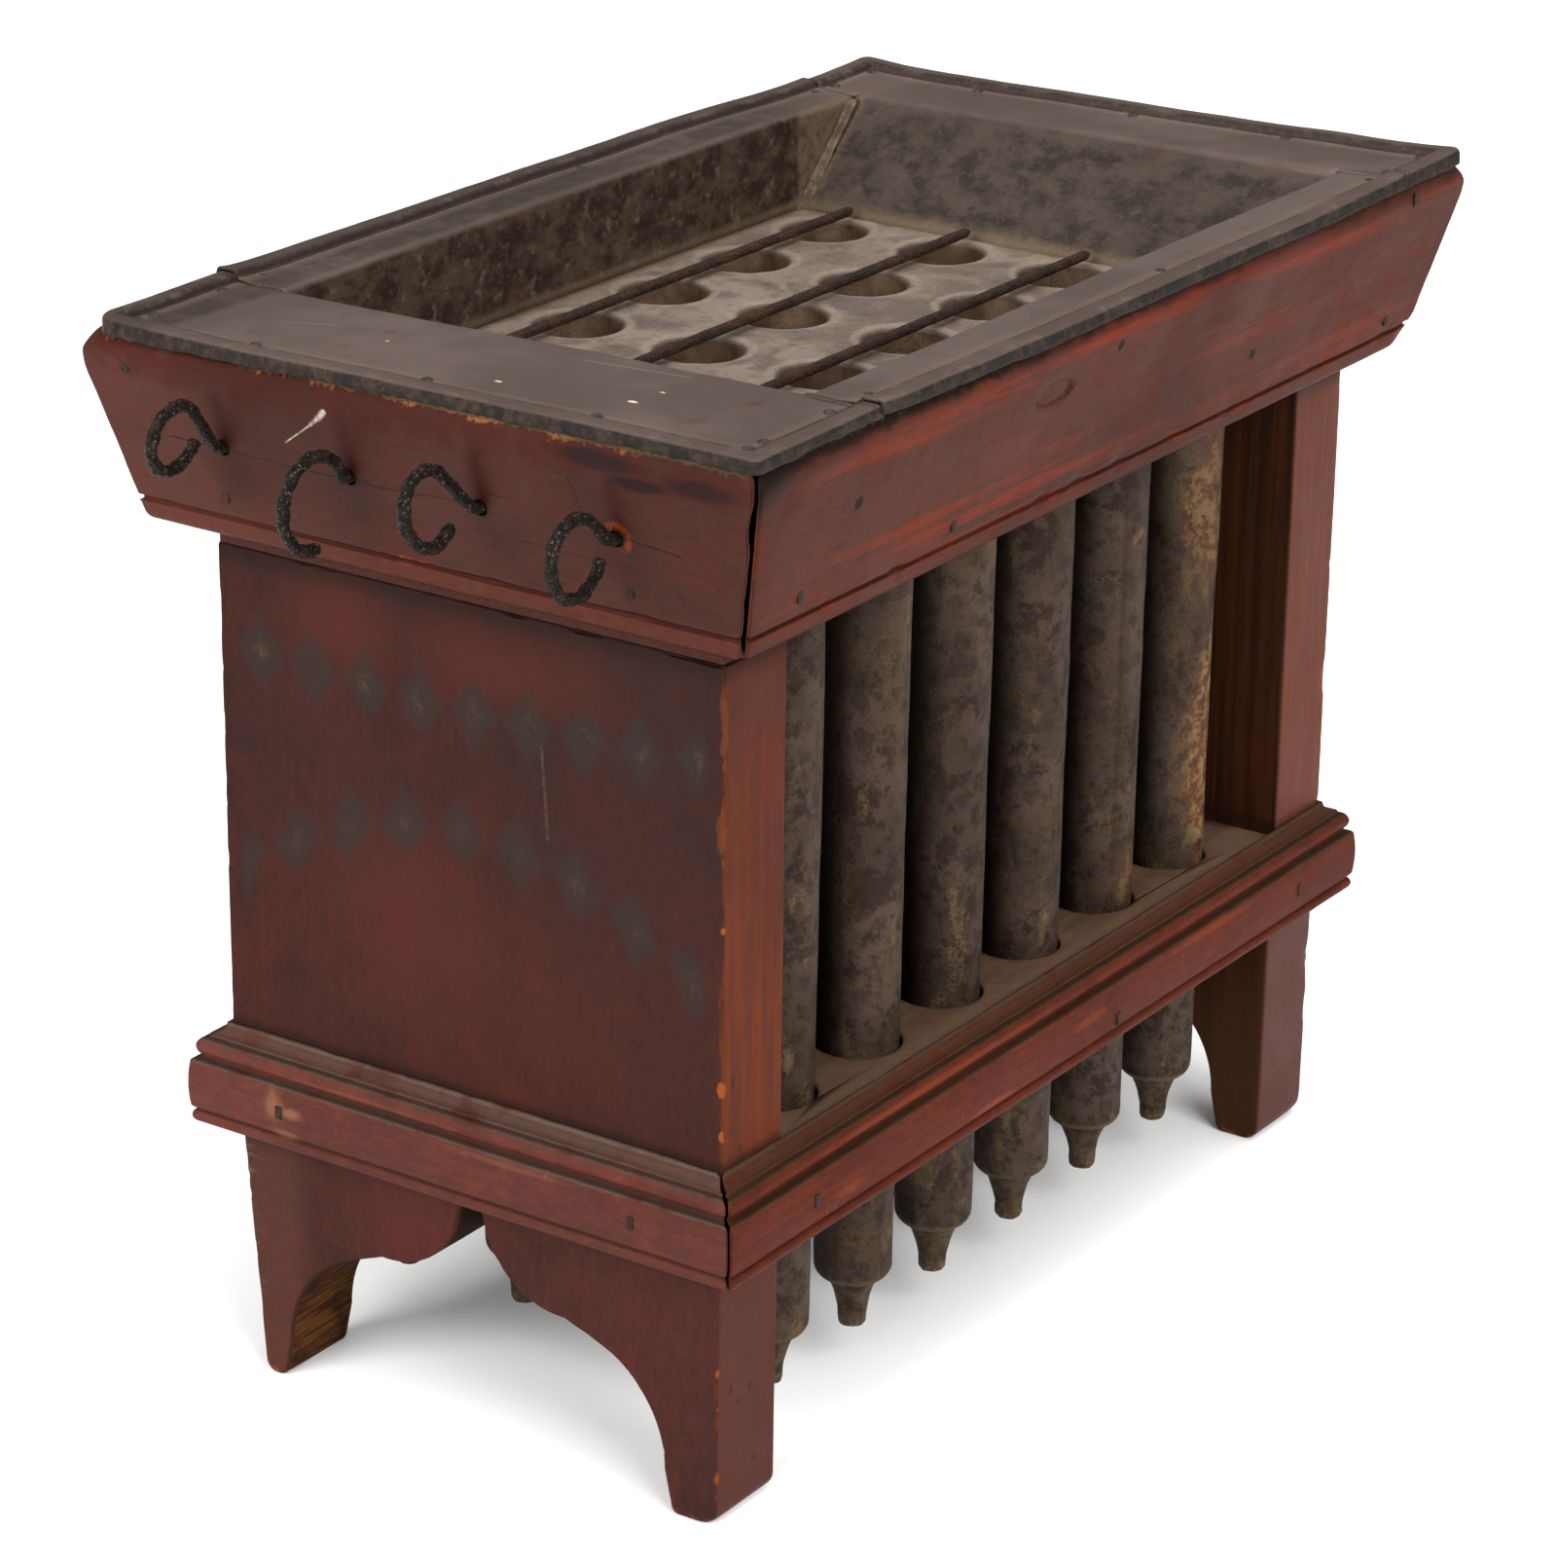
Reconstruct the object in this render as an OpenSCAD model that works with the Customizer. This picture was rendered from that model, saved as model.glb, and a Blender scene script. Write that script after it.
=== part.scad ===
/* [Frame] */
// Overall length over the outer faces of the two end boards
board_l = 317.5; // [300:0.5:340]
// Width of the end boards, front to back
board_w = 162.6; // [158:0.2:170]
// Thickness of the end boards
board_t = 27.2; // [20:0.2:30]
// Height of the end boards, floor to the underside of the hopper
board_h = 242; // [235:0.5:244]
// Taper of the back edge of each foot at the floor
foot_taper_back = 8.5; // [0:0.5:10]
// Taper of the front edge of each foot at the floor
foot_taper_front = 1; // [0:0.5:4]
// Thickness of the pierced shelf between the end boards
shelf_t = 20; // [14:1:24]
// Height of the shelf's top face
shelf_z = 101.5; // [100:0.5:103]

/* [Moulding] */
// Height of the moulding's top edge
mould_z = 104; // [103:0.5:106]
// Gap left at the mitred corners
mitre_gap = 0.3; // [0.1:0.1:0.6]
// Gap of the sprung near-front mitre
sprung_gap = 1.1; // [0.1:0.1:1.5]

/* [Hopper] */
// Height of the bottom edge of the flared boards
hop_z0 = 248.3; // [247.5:0.1:250]
// Height of the top edge of the flared boards
hop_z1 = 303; // [302:0.2:304]
// Half length over the flared boards at their bottom edge
hop_l = 169.6; // [169:0.1:171]
// Half width over the flared boards at their bottom edge
hop_w = 94.1; // [93:0.1:95]
// How far the boards lean out, bottom to top
flare = 13.4; // [12:0.1:13.5]
// Horizontal thickness of the flared boards
hop_t = 12.4; // [10:0.1:13]

/* [Tin tray] */
// Thickness of the tinned sheet
tin = 1; // [0.8:0.1:1.1]
// Half length over the rim
rim_l = 184; // [183.9:0.1:185]
// Half width over the rim
rim_w = 108.4; // [108.2:0.1:109]
// Height of the top of the rim's raised edge
rim_z = 306.3; // [306:0.1:307]
// Width of the raised edge
edge_w = 6.6; // [5:0.1:8]
// Height of the flat flange inside the raised edge
flange_z = 304.2; // [304.1:0.1:304.5]
// Near edge of the opening, from the middle of the frame
open_n = 127; // [126:0.5:130]
// Far edge of the opening, from the middle of the frame
open_f = 145; // [140:0.5:150]
// Half width of the opening
open_w = 83; // [82.5:0.1:84]
// Height of the tray's floor
floor_z = 272.2; // [271:0.1:273]
// Far end of the tray's floor
floor_f = 116; // [115:0.5:118]

/* [Candle tubes] */
// Tubes along the length
cols = 6; // [2:1:6]
// Rows of tubes, one under each wick rod
rows = 4; // [4:1:4]
// Spacing of the tubes, both ways
pitch = 41.3; // [40:0.1:41.4]
// Offset of the tube field along the length
field_x = -2.5; // [-3:0.1:0]
// Offset of the tube field front to back
field_y = 1.5; // [-2:0.1:2]
// Radius of a tube under the tray
tube_r1 = 12.9; // [12:0.1:13]
// Radius of a tube above its tip
tube_r0 = 10.9; // [10:0.1:11.4]
// Wall of a tube
tube_t = 0.9; // [0.7:0.1:1.2]
// Height of the tubes' tips above the floor
tip_z = 15; // [8:0.5:20]

/* [Wick rods] */
// Diameter of the iron wire
wire_d = 3; // [2.6:0.1:3.2]
// Height of the rods
rod_z = 275.4; // [275.2:0.1:275.6]
// Where the rods end, from the middle of the frame
rod_end = 115; // [100:1:116]

/* [Hidden] */

$fn = 64;
eps = 0.01;
bl = board_l / 2;
bw = board_w / 2;
wr = wire_d / 2;
lean = atan(flare / (hop_z1 - hop_z0));

// The four wick rods' ring handles: [out, up, radius, end angle, twist]
RINGS = [
  [17.5, 7.8, 8.7, -164, 8.5],
  [11.6, -3.3, 12.06, -98, 1.2],
  [17.1, 4.7, 9.6, -142, -8.4],
  [13.7, -0.6, 10.0, -166, -1.8]];
rod_x0 = -(hop_l + flare * (rod_z - hop_z0) / (hop_z1 - hop_z0)) - 2.4;
ring_reach = -rod_x0 + max([for (r = RINGS) r[0] + r[2]]) + wr;
// The frame's middle is set so that the origin is under the middle of the whole
sx = (ring_reach - rim_l) / 2;

woodA = [0.40, 0.20, 0.17];
woodB = [0.46, 0.24, 0.19];
raw = [0.42, 0.28, 0.17];
tinC = [0.36, 0.33, 0.31];
leadC = [0.30, 0.28, 0.26];
solderC = [0.52, 0.49, 0.42];
ironC = [0.20, 0.15, 0.14];

function arc(c, r, a0, a1, n) = [for (i = [0:n]) c + r * [cos(a0 + (a1 - a0) * i / n), sin(a0 + (a1 - a0) * i / n)]];
function flip(p) = [for (i = [len(p) - 1:-1:0]) [-p[i][0], p[i][1]]];
function tube_x(c) = field_x + (c - (cols - 1) / 2) * pitch;
function tube_y(r) = field_y + ((rows - 1) / 2 - r) * pitch;
function hop_out(h, z) = h + flare * (z - hop_z0) / (hop_z1 - hop_z0);

// A bar of constant section: the section's first axis points along +X, its second up,
// and the bar runs front to back
module bar(half) {
  translate([0, half, 0]) rotate([90, 0, 0]) linear_extrude(height = 2 * half) children();
}

// Keeps what lies within a 45 degree wedge about +X, for mitred corners
module mitre(c, g_pos, g_neg, z0, z1) {
  intersection() {
    children();
    translate([0, 0, z0]) linear_extrude(height = z1 - z0)
      polygon([[c + (g_pos + g_neg) / 2, 0 + (g_neg - g_pos) / 2], [c + g_pos + 300, 300], [c + g_neg + 300, -300]]);
  }
}

// ---- end boards -------------------------------------------------------------
module end_profile() {
  arch = concat(
    [[-67.5, 0], [-66.4, 0.5], [-65.6, 1.6], [-63.2, 12.5]],
    arc([-31, 12.5], 32.2, 180, 107, 14),
    arc([-29.5, 73], 26, -93, -8, 14),
    [[-2.5, 73.4]]);
  polygon(concat(
    [[-bw, board_h], [-bw, 74.5], [-bw + 0.6, 74]],
    arc([-bw + foot_taper_front + 5, 5], 5, 180, 270, 6),
    arch, flip(arch),
    arc([bw - foot_taper_back - 4, 4], 4, -90, 0, 6),
    [[bw - 2.6, 74], [bw, 74.5], [bw, board_h]]));
}

module end_board(s) {
  color(woodA)
  difference() {
    rotate([90, 0, 90]) linear_extrude(height = board_t) end_profile();
    // housing for the shelf
    translate([s > 0 ? -1 : board_t - 8, -bw - 1, shelf_z - shelf_t])
      cube([9, board_w + 2, shelf_t]);
  }
}
module end_board_near() { translate([sx - bl, 0, 0]) end_board(-1); }
module end_board_far() { translate([sx + bl - board_t, 0, 0]) end_board(1); }

// ---- shelf and hopper bottom --------------------------------------------------
module tube_field(r, z0, z1) {
  for (c = [0:cols - 1]) for (k = [0:rows - 1])
    translate([tube_x(c), tube_y(k), z0]) cylinder(r = r, h = z1 - z0);
}

module shelf_board() {
  l = bl - board_t + 7.9;
  color(woodB) translate([sx, 0, 0])
  difference() {
    translate([-l, -bw, shelf_z - shelf_t + 0.05]) cube([2 * l, board_w, shelf_t - 0.1]);
    tube_field(12.3, shelf_z - shelf_t - 1, shelf_z + 1);
  }
}

module bottom_board() {
  color(woodB) translate([sx, 0, 0])
  difference() {
    translate([-162.8, -89.5, board_h]) cube([325.6, 179, hop_z0 - board_h]);
    tube_field(13.5, board_h - 1, hop_z0 + 1);
  }
}

// ---- waist moulding -------------------------------------------------------------
// Section measured out from the board's face: cove, step, bead, quirk, broad
// fascia, quirk and small bead
module mould_profile(o) {
  z = mould_z;
  polygon([for (p = concat(
    [[0, 0], [1.2, 0]],
    arc([4.2, 0], 3, 180, 270, 6),
    [[4.6, -3], [4.6, -3.8]],
    arc([4.6, -6.6], 2.8, 84, -58, 9),
    [[6.1, -9.4], [6.6, -9.9], [7.9, -10.1]],
    arc([-35.9, -17.6], 45, 9, -8, 8),
    [[8.2, -24.4], [7.5, -24.8], [7.5, -25.2]],
    arc([6.6, -27], 1.9, 62, -60, 6),
    [[6.6, -29.2], [5.2, -29.9], [0, -30]]) ) [o + p[0], z + p[1]]]);
}
module moulding(s, o, half, c, gp, gn) {
  color(woodB) translate([sx, 0, 0]) rotate([0, 0, s])
    mitre(c, gp, gn, 0, 150) bar(half + 12) mould_profile(o);
}
module moulding_near() { moulding(180, bl, bw, bl - bw, mitre_gap + 0.9, mitre_gap); }
module moulding_far() { moulding(0, bl, bw, bl - bw, mitre_gap, mitre_gap); }
module moulding_front() { moulding(-90, bw, bl, bw - bl, mitre_gap, mitre_gap + 0.3); }
module moulding_back() { moulding(90, bw, bl, bw - bl, mitre_gap, mitre_gap); }

// ---- flared hopper boards ----------------------------------------------------
// Section: leaning board with a quirked bead along the bottom edge and a
// rounded top edge
module hop_profile(h) {
  rb = 2.5;
  rt = 4;
  cb = [hop_out(h, hop_z0 + rb) - rb / cos(lean), hop_z0 + rb];
  ct = [hop_out(h, hop_z1 - rt) - rt / cos(lean), hop_z1 - rt];
  qz = hop_z0 + 6.4;
  q = [hop_out(h, qz), qz];
  polygon(concat(
    [[h - hop_t, hop_z0]],
    arc(cb, rb, -90, -lean, 6),
    [q - [0.15, 0.9], q + [-0.9, -0.6], q + [-0.9, 0.2], q + [0.12, 0.6]],
    arc(ct, rt, -lean, 90, 8),
    [[h - hop_t + flare, hop_z1]]));
}
module hopper_board(s, h, c, gp, gn) {
  color(woodA) translate([sx, 0, 0]) rotate([0, 0, s])
    mitre(c, gp, gn, 200, 350) bar(hop_l + 30) hop_profile(h);
}
module hopper_board_near() {
  difference() {
    hopper_board(180, hop_l, hop_l - hop_w, sprung_gap, mitre_gap);
    for (k = [0:3]) translate([sx - 200, tube_y(k), rod_z]) rotate([0, 90, 0]) cylinder(d = wire_d + 1.2, h = 60);
  }
}
module hopper_board_far() { hopper_board(0, hop_l, hop_l - hop_w, mitre_gap, mitre_gap); }
module hopper_board_front() { hopper_board(-90, hop_w, hop_w - hop_l, mitre_gap, sprung_gap); }
module hopper_board_back() { hopper_board(90, hop_w, hop_w - hop_l, mitre_gap, mitre_gap); }

// ---- tin tray --------------------------------------------------------------------
// Raised outer edge: a lip folded down over the wood, a rounded top and a step
// down to the flange; r is the outermost half size
module edge_profile(r) {
  t = tin;
  polygon(concat(
    [[r - t, 300.8], [r, 300.8]],
    arc([r - 1.8, rim_z - 1.8], 1.8, 0, 90, 4),
    arc([r - edge_w + 1.3, rim_z - 1.3], 1.3, 90, 180, 4),
    [[r - edge_w, flange_z], [r - edge_w - 0.6, flange_z], [r - edge_w - 0.6, flange_z - t], [r - edge_w + t, flange_z - t]],
    arc([r - edge_w + t + 0.7, rim_z - t - 0.7], 0.7, 180, 90, 3),
    arc([r - t - 1, rim_z - t - 1], 1, 90, 0, 3)));
}
module edge_bar(s, r, half, c) {
  rotate([0, 0, s]) mitre(c, 0, 0, 290, 320) bar(half) edge_profile(r);
}
// Flange turned down into a wall: fo is the opening's edge at the top, fb the
// wall's inner face at the floor
module wall_profile(outer, fo, fb) {
  t = tin;
  r = 2.2;
  polygon(concat(
    [[outer, flange_z], [fo + r, flange_z]],
    arc([fo + r, flange_z - r], r, 90, 180, 5),
    [[fb, floor_z], [fb + t, floor_z]],
    arc([fo + r, flange_z - r], r - t, 180, 90, 3),
    [[outer, flange_z - t]]));
}
module slab(x0, x1, y0, y1, z0, z1) { translate([x0, y0, z0]) cube([x1 - x0, y1 - y0, z1 - z0]); }

module tray_end(s, fo, fb) {
  // s is 180 for the near end and 0 for the far end
  color(tinC) translate([sx, 0, 0]) rotate([0, 0, s]) {
    edge_bar(0, rim_l, rim_w + 2, rim_l - rim_w);
    for (q = [-90, 90]) intersection() {
      edge_bar(q, rim_w, rim_l + 2, rim_w - rim_l);
      slab(fo + 0.15, rim_l + 1, -rim_w - 1, rim_w + 1, 290, 320);
    }
    // flange beyond the opening, out to the raised edge on three sides
    slab(fo + 2.5, rim_l - edge_w - 0.3, -rim_w + edge_w + 0.3, rim_w - edge_w - 0.3, flange_z - tin, flange_z);
    for (m = [0, 1]) mirror([0, m, 0])
      slab(fo + 0.15, fo + 3, open_w + 0.2, rim_w - edge_w - 0.3, flange_z - tin, flange_z);
    bar(open_w - 0.1) wall_profile(fo + 3, fo, fb);
  }
}
module tray_end_near() {
  color(tinC) difference() {
    tray_end(180, open_n, open_n - 3.2);
    for (k = [0:3]) translate([sx - open_n - 5, tube_y(k), rod_z]) rotate([0, 90, 0]) cylinder(d = wire_d + 0.8, h = 10);
  }
}
module tray_end_far() { tray_end(0, open_f, floor_f); }

// The side sheets' raised edge stands a little prouder than the end sheets'
module tray_side(s) {
  na = s < 0 ? -open_n : -open_f;
  color(tinC) translate([sx, 0, 0]) intersection() {
    rotate([0, 0, s]) union() {
      bar(rim_l) edge_profile(rim_w + 0.5);
      bar(rim_l) wall_profile(rim_w - edge_w, open_w, open_w);
    }
    union() {
      slab(-open_n + 0.15, open_f - 0.15, -rim_w - 2, rim_w + 2, 300.5, 320);
      translate([0, 200, 0]) rotate([90, 0, 0]) linear_extrude(height = 400)
        polygon([[-open_n + 3.2, floor_z], [floor_f, floor_z], [floor_f + (open_f - floor_f) * (301 - floor_z) / (flange_z - floor_z) , 301], [-open_n + 0.3, 301]]);
    }
  }
}
module tray_side_front() { tray_side(-90); }
module tray_side_back() { tray_side(90); }

module tray_floor() {
  color(tinC) translate([sx, 0, 0])
  difference() {
    slab(-open_n + 2, floor_f + 1.4, -open_w - 1.2, open_w + 1.2, floor_z - tin, floor_z);
    tube_field(tube_r1 + 0.05, floor_z - tin - 1, floor_z + 1);
  }
}

// Solder run up the tray's four inside corners
module solder_run(p, q, a, w) {
  hull() for (v = [p, q]) translate(v) rotate([0, 0, a]) linear_extrude(height = 0.05)
    polygon([[0.06, 0.06], [w, 0.06], [0.3 * w, 0.3 * w], [0.06, w]]);
}
module corner_solder() {
  zt = flange_z - 3;
  xf = floor_f + (open_f - floor_f) * (zt - floor_z) / (flange_z - 2.2 - floor_z);
  xn = -open_n + 3.2 - 3.2 * (zt - floor_z) / (flange_z - 2.2 - floor_z);
  w = 3.6;
  color(solderC) translate([sx, 0, 0]) {
    solder_run([floor_f - 0.3, open_w, floor_z + 0.1], [xf - 0.3, open_w, zt], 180, w);
    solder_run([floor_f - 0.3, -open_w, floor_z + 0.1], [xf - 0.3, -open_w, zt], 90, w);
    solder_run([-open_n + 3.3, open_w, floor_z + 0.1], [xn + 0.1, open_w, zt], -90, w);
    solder_run([-open_n + 3.3, -open_w, floor_z + 0.1], [xn + 0.1, -open_w, zt], 0, w);
  }
}

// ---- candle tubes ------------------------------------------------------------------
// A tapered tube with a soldered collar at its mouth, a seamed shoulder and a
// drawn tip with a hole for the wick
module tube(r, c) {
  z = tip_z;
  t = tube_t;
  top = floor_z;
  color(leadC) translate([sx + tube_x(c), tube_y(r), 0]) rotate_extrude()
    polygon([
      [0.9, z], [2.8, z], [3.3, z + 0.7], [3.35, z + 5], [4.1, z + 9.2], [6.0, z + 13.6],
      [7.2, z + 14.2], [7.4, z + 15.2], [9.3, z + 15.7], [10.3, z + 16.5], [tube_r0, z + 18],
      [tube_r1, top - 1], [tube_r1, top + 0.05], [tube_r1 + 1.9, top + 0.05], [tube_r1 + 1.5, top + 0.55], [tube_r1 - 0.2, top + 0.8],
      [tube_r1 - t, top + 0.2], [tube_r1 - t, top - 3], [tube_r0 - t, z + 19], [tube_r0 - t - 1, z + 17.5],
      [6.2, z + 15.6], [5.0, z + 13.8], [3.0, z + 9.5], [0.9, z + 6]]);
}
module tube_a1() { tube(0, 0); }
module tube_a2() { tube(0, 1); }
module tube_a3() { tube(0, 2); }
module tube_a4() { tube(0, 3); }
module tube_a5() { tube(0, 4); }
module tube_a6() { tube(0, 5); }
module tube_b1() { tube(1, 0); }
module tube_b2() { tube(1, 1); }
module tube_b3() { tube(1, 2); }
module tube_b4() { tube(1, 3); }
module tube_b5() { tube(1, 4); }
module tube_b6() { tube(1, 5); }
module tube_c1() { tube(2, 0); }
module tube_c2() { tube(2, 1); }
module tube_c3() { tube(2, 2); }
module tube_c4() { tube(2, 3); }
module tube_c5() { tube(2, 4); }
module tube_c6() { tube(2, 5); }
module tube_d1() { tube(3, 0); }
module tube_d2() { tube(3, 1); }
module tube_d3() { tube(3, 2); }
module tube_d4() { tube(3, 3); }
module tube_d5() { tube(3, 4); }
module tube_d6() { tube(3, 5); }

// ---- wick rods -----------------------------------------------------------------------
// One length of iron wire: a straight rod over the tubes, bent up where it
// leaves the hopper and rolled into a ring handle
module rod_seg(p, q) {
  d = q - p;
  translate(p) rotate([0, atan2(sqrt(d[0] * d[0] + d[1] * d[1]), d[2]), atan2(d[1], d[0])]) cylinder(r = wr, h = norm(d), $fn = 32);
}
module wick_rod(k) {
  g = RINGS[k];
  c = [-g[0], 0, g[1]];
  d = norm([g[0], g[1]]);
  // the shank runs straight from the bend to where it meets the ring's circle
  a0 = d > g[2] + 0.5 ? atan2(g[1], g[0]) + asin(g[2] / d) + 90 : 180 - atan2(-g[1], g[0]) + 0;
  p0 = c + g[2] * [-cos(a0), 0, sin(a0)];
  color(ironC) translate([sx, tube_y(k), rod_z]) {
    rod_seg([rod_x0, 0, 0], [rod_end, 0, 0]);
    translate([rod_end, 0, 0]) rotate([0, 90, 0]) cylinder(r1 = wr, r2 = wr - 0.7, h = 0.8, $fn = 32);
    translate([rod_x0, 0, 0]) rotate([g[4], 0, 0]) {
      sphere(r = wr + 0.06, $fn = 32);
      if (norm(p0) > 0.6) {
        rod_seg([0, 0, 0], p0);
        translate(p0) sphere(r = wr + 0.06, $fn = 32);
      }
      // the ring lies in a plane through the rod's axis
      translate(c) rotate([90, 0, 0]) rotate([0, 0, 180 - a0])
        rotate_extrude(angle = a0 - g[3], $fn = 96) translate([g[2], 0]) circle(r = wr, $fn = 24);
    }
  }
}
module wick_rod_1() { wick_rod(0); }
module wick_rod_2() { wick_rod(1); }
module wick_rod_3() { wick_rod(2); }
module wick_rod_4() { wick_rod(3); }

// ---- nails -------------------------------------------------------------------------------
// Cut nail, driven along -X from the origin: rectangular head and square shank
module cut_nail(l) {
  translate([-0.3, -1.1, -1.9]) cube([0.6, 2.2, 3.8]);
  translate([0, -0.8, -0.8]) cube([l, 1.6, 1.6]);
}
// Places of the nails: [along the board, height] on the short and the long boards
NH = [[65.9, 261], [-62.3, 261.4], [91.7, 293.5]];
NF = [[-150, 261], [-80, 260.5], [154, 260], [150.7, 297.9]];
module hopper_nails() {
  color(ironC) translate([sx, 0, 0]) {
    for (e = [0, 180]) rotate([0, 0, e]) for (n = NH)
      translate([-hop_out(hop_l, n[1]), n[0], n[1]]) cut_nail(9);
    for (e = [90, -90]) rotate([0, 0, e]) for (n = NF)
      translate([-hop_out(hop_w, n[1]), -n[0], n[1]]) cut_nail(9);
  }
}
module moulding_nails() {
  color(ironC) translate([sx, 0, 0]) {
    for (e = [0, 180]) rotate([0, 0, e]) for (n = [[-58.9, 87], [58, 86.4]])
      translate([-bl - 9.1, n[0], n[1]]) cut_nail(20);
    for (e = [90, -90]) rotate([0, 0, e]) for (n = [[128, 86.4], [-26, 82.5], [-132, 86.4]])
      translate([-bw - 9.1, n[0], n[1]]) cut_nail(14);
  }
}
module tack(x, y) {
  translate([x, y, flange_z - 4.4]) cylinder(r = 0.7, h = 4.4);
  translate([x, y, flange_z + 0.02]) rotate_extrude() polygon([[0, 0], [1.7, 0], [1.3, 0.45], [0.6, 0.7], [0, 0.75]]);
}
module rim_nails() {
  i = edge_w + 3;
  color(ironC) translate([sx, 0, 0])
    for (s = [-1, 1]) {
      for (x = [-rim_l + i, -167, -open_n - 10, -open_n + 7, 22, open_f - 5, open_f + 6, rim_l - i]) tack(x, s * (rim_w - i));
      tack(s * (rim_l - i), 0);
      tack(s * (rim_l - i), 55);
      tack(s * (rim_l - i), -52);
    }
}

end_board_near();
end_board_far();
shelf_board();
bottom_board();
moulding_near();
moulding_far();
moulding_front();
moulding_back();
hopper_board_near();
hopper_board_far();
hopper_board_front();
hopper_board_back();
tray_floor();
tray_end_near();
tray_end_far();
tray_side_front();
tray_side_back();
corner_solder();
tube_a1();
tube_a2();
tube_a3();
tube_a4();
tube_a5();
tube_a6();
tube_b1();
tube_b2();
tube_b3();
tube_b4();
tube_b5();
tube_b6();
tube_c1();
tube_c2();
tube_c3();
tube_c4();
tube_c5();
tube_c6();
tube_d1();
tube_d2();
tube_d3();
tube_d4();
tube_d5();
tube_d6();
wick_rod_1();
wick_rod_2();
wick_rod_3();
wick_rod_4();
hopper_nails();
moulding_nails();
rim_nails();
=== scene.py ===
import math
import bmesh
import bpy
import numpy as np
from mathutils import Matrix, Vector
from mathutils.geometry import delaunay_2d_cdt


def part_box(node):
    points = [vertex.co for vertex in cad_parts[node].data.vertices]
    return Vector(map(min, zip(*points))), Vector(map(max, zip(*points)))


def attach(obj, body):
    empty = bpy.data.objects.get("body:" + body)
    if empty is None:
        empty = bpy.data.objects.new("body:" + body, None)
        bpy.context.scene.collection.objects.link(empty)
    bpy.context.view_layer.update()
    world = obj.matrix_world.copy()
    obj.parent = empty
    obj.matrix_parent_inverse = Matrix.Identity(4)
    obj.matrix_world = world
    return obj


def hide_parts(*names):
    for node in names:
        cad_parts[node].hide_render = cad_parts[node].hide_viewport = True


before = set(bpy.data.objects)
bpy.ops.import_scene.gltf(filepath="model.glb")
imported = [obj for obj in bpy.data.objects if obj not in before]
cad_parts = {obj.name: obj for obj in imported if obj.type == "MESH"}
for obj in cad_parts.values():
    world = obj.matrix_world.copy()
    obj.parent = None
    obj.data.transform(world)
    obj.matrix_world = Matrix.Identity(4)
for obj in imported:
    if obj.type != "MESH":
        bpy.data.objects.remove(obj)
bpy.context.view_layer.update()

scene = bpy.context.scene
scene.view_settings.view_transform = "Standard"

# ---------------------------------------------------------------- dimensions, mm
nb_lo, nb_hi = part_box("end_board_near")
fb_lo, fb_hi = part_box("end_board_far")
SX = (nb_lo.x + fb_hi.x) / 2 * 1000
BL = (fb_hi.x - nb_lo.x) / 2 * 1000
BW = nb_hi.y * 1000
BT = (nb_hi.x - nb_lo.x) * 1000
BH = nb_hi.z * 1000
HZ0, HZ1, HL, HW, FLARE, HT = 248.3, 303.0, 169.6, 94.1, 13.4, 12.4
MZ = 104.0
RL, RW, RZ, EW, FZ = 184.0, 108.4, 306.3, 6.6, 304.2
ON, OF, OW, FLZ, FF = 127.0, 145.0, 83.0, 272.2, 116.0
PITCH, FX, FY = 41.3, -2.5, 1.5
TR1, TR0, TT, TIP = 12.9, 10.9, 0.9, 15.0
WR, RODZ, REND = 1.5, 275.4, 115.0
LEAN = math.atan(FLARE / (HZ1 - HZ0))
RINGS = [(17.5, 7.8, 8.7, -164, 8.5), (11.6, -3.3, 12.06, -98, 1.2), (17.1, 4.7, 9.6, -142, -8.4), (13.7, -0.6, 10.0, -166, -1.8)]
RX0 = -(HL + FLARE * (RODZ - HZ0) / (HZ1 - HZ0)) - 2.4


def tx(c): return FX + (c - 2.5) * PITCH
def ty(r): return FY + (1.5 - r) * PITCH
def hop_out(h, z): return h + FLARE * (z - HZ0) / (HZ1 - HZ0)


# ---------------------------------------------------------------- small maths
def vnoise(P, scale, seed=0):
    """Smooth value noise in -1..1 at the points P (n,3), mm."""
    Q = np.asarray(P, float) * scale + np.array([17.3, 5.1, 9.7]) * (seed + 1)
    I = np.floor(Q).astype(np.int64)
    F = Q - I
    F = F * F * (3 - 2 * F)

    def h(dx, dy, dz):
        n = (I[:, 0] + dx) * 374761393 + (I[:, 1] + dy) * 668265263 + (I[:, 2] + dz) * 1274126177 + seed * 974711
        n &= 0xFFFFFFFF
        n = ((n ^ (n >> 13)) * 1274126177) & 0xFFFFFFFF
        n = ((n ^ (n >> 16)) * 2246822519) & 0xFFFFFFFF
        n ^= n >> 15
        return (n & 0xFFFFFF) / float(0xFFFFFF) * 2 - 1

    x, y, z = F[:, 0], F[:, 1], F[:, 2]
    a = h(0, 0, 0) * (1 - x) + h(1, 0, 0) * x
    b = h(0, 1, 0) * (1 - x) + h(1, 1, 0) * x
    c = h(0, 0, 1) * (1 - x) + h(1, 0, 1) * x
    d = h(0, 1, 1) * (1 - x) + h(1, 1, 1) * x
    return (a * (1 - y) + b * y) * (1 - z) + (c * (1 - y) + d * y) * z


def fbm(P, scale, octaves=3, seed=0, gain=0.5):
    out, amp, tot = 0, 1.0, 0
    for k in range(octaves):
        out = out + amp * vnoise(P, scale * 2 ** k, seed + k * 7)
        tot += amp
        amp *= gain
    return out / tot


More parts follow.
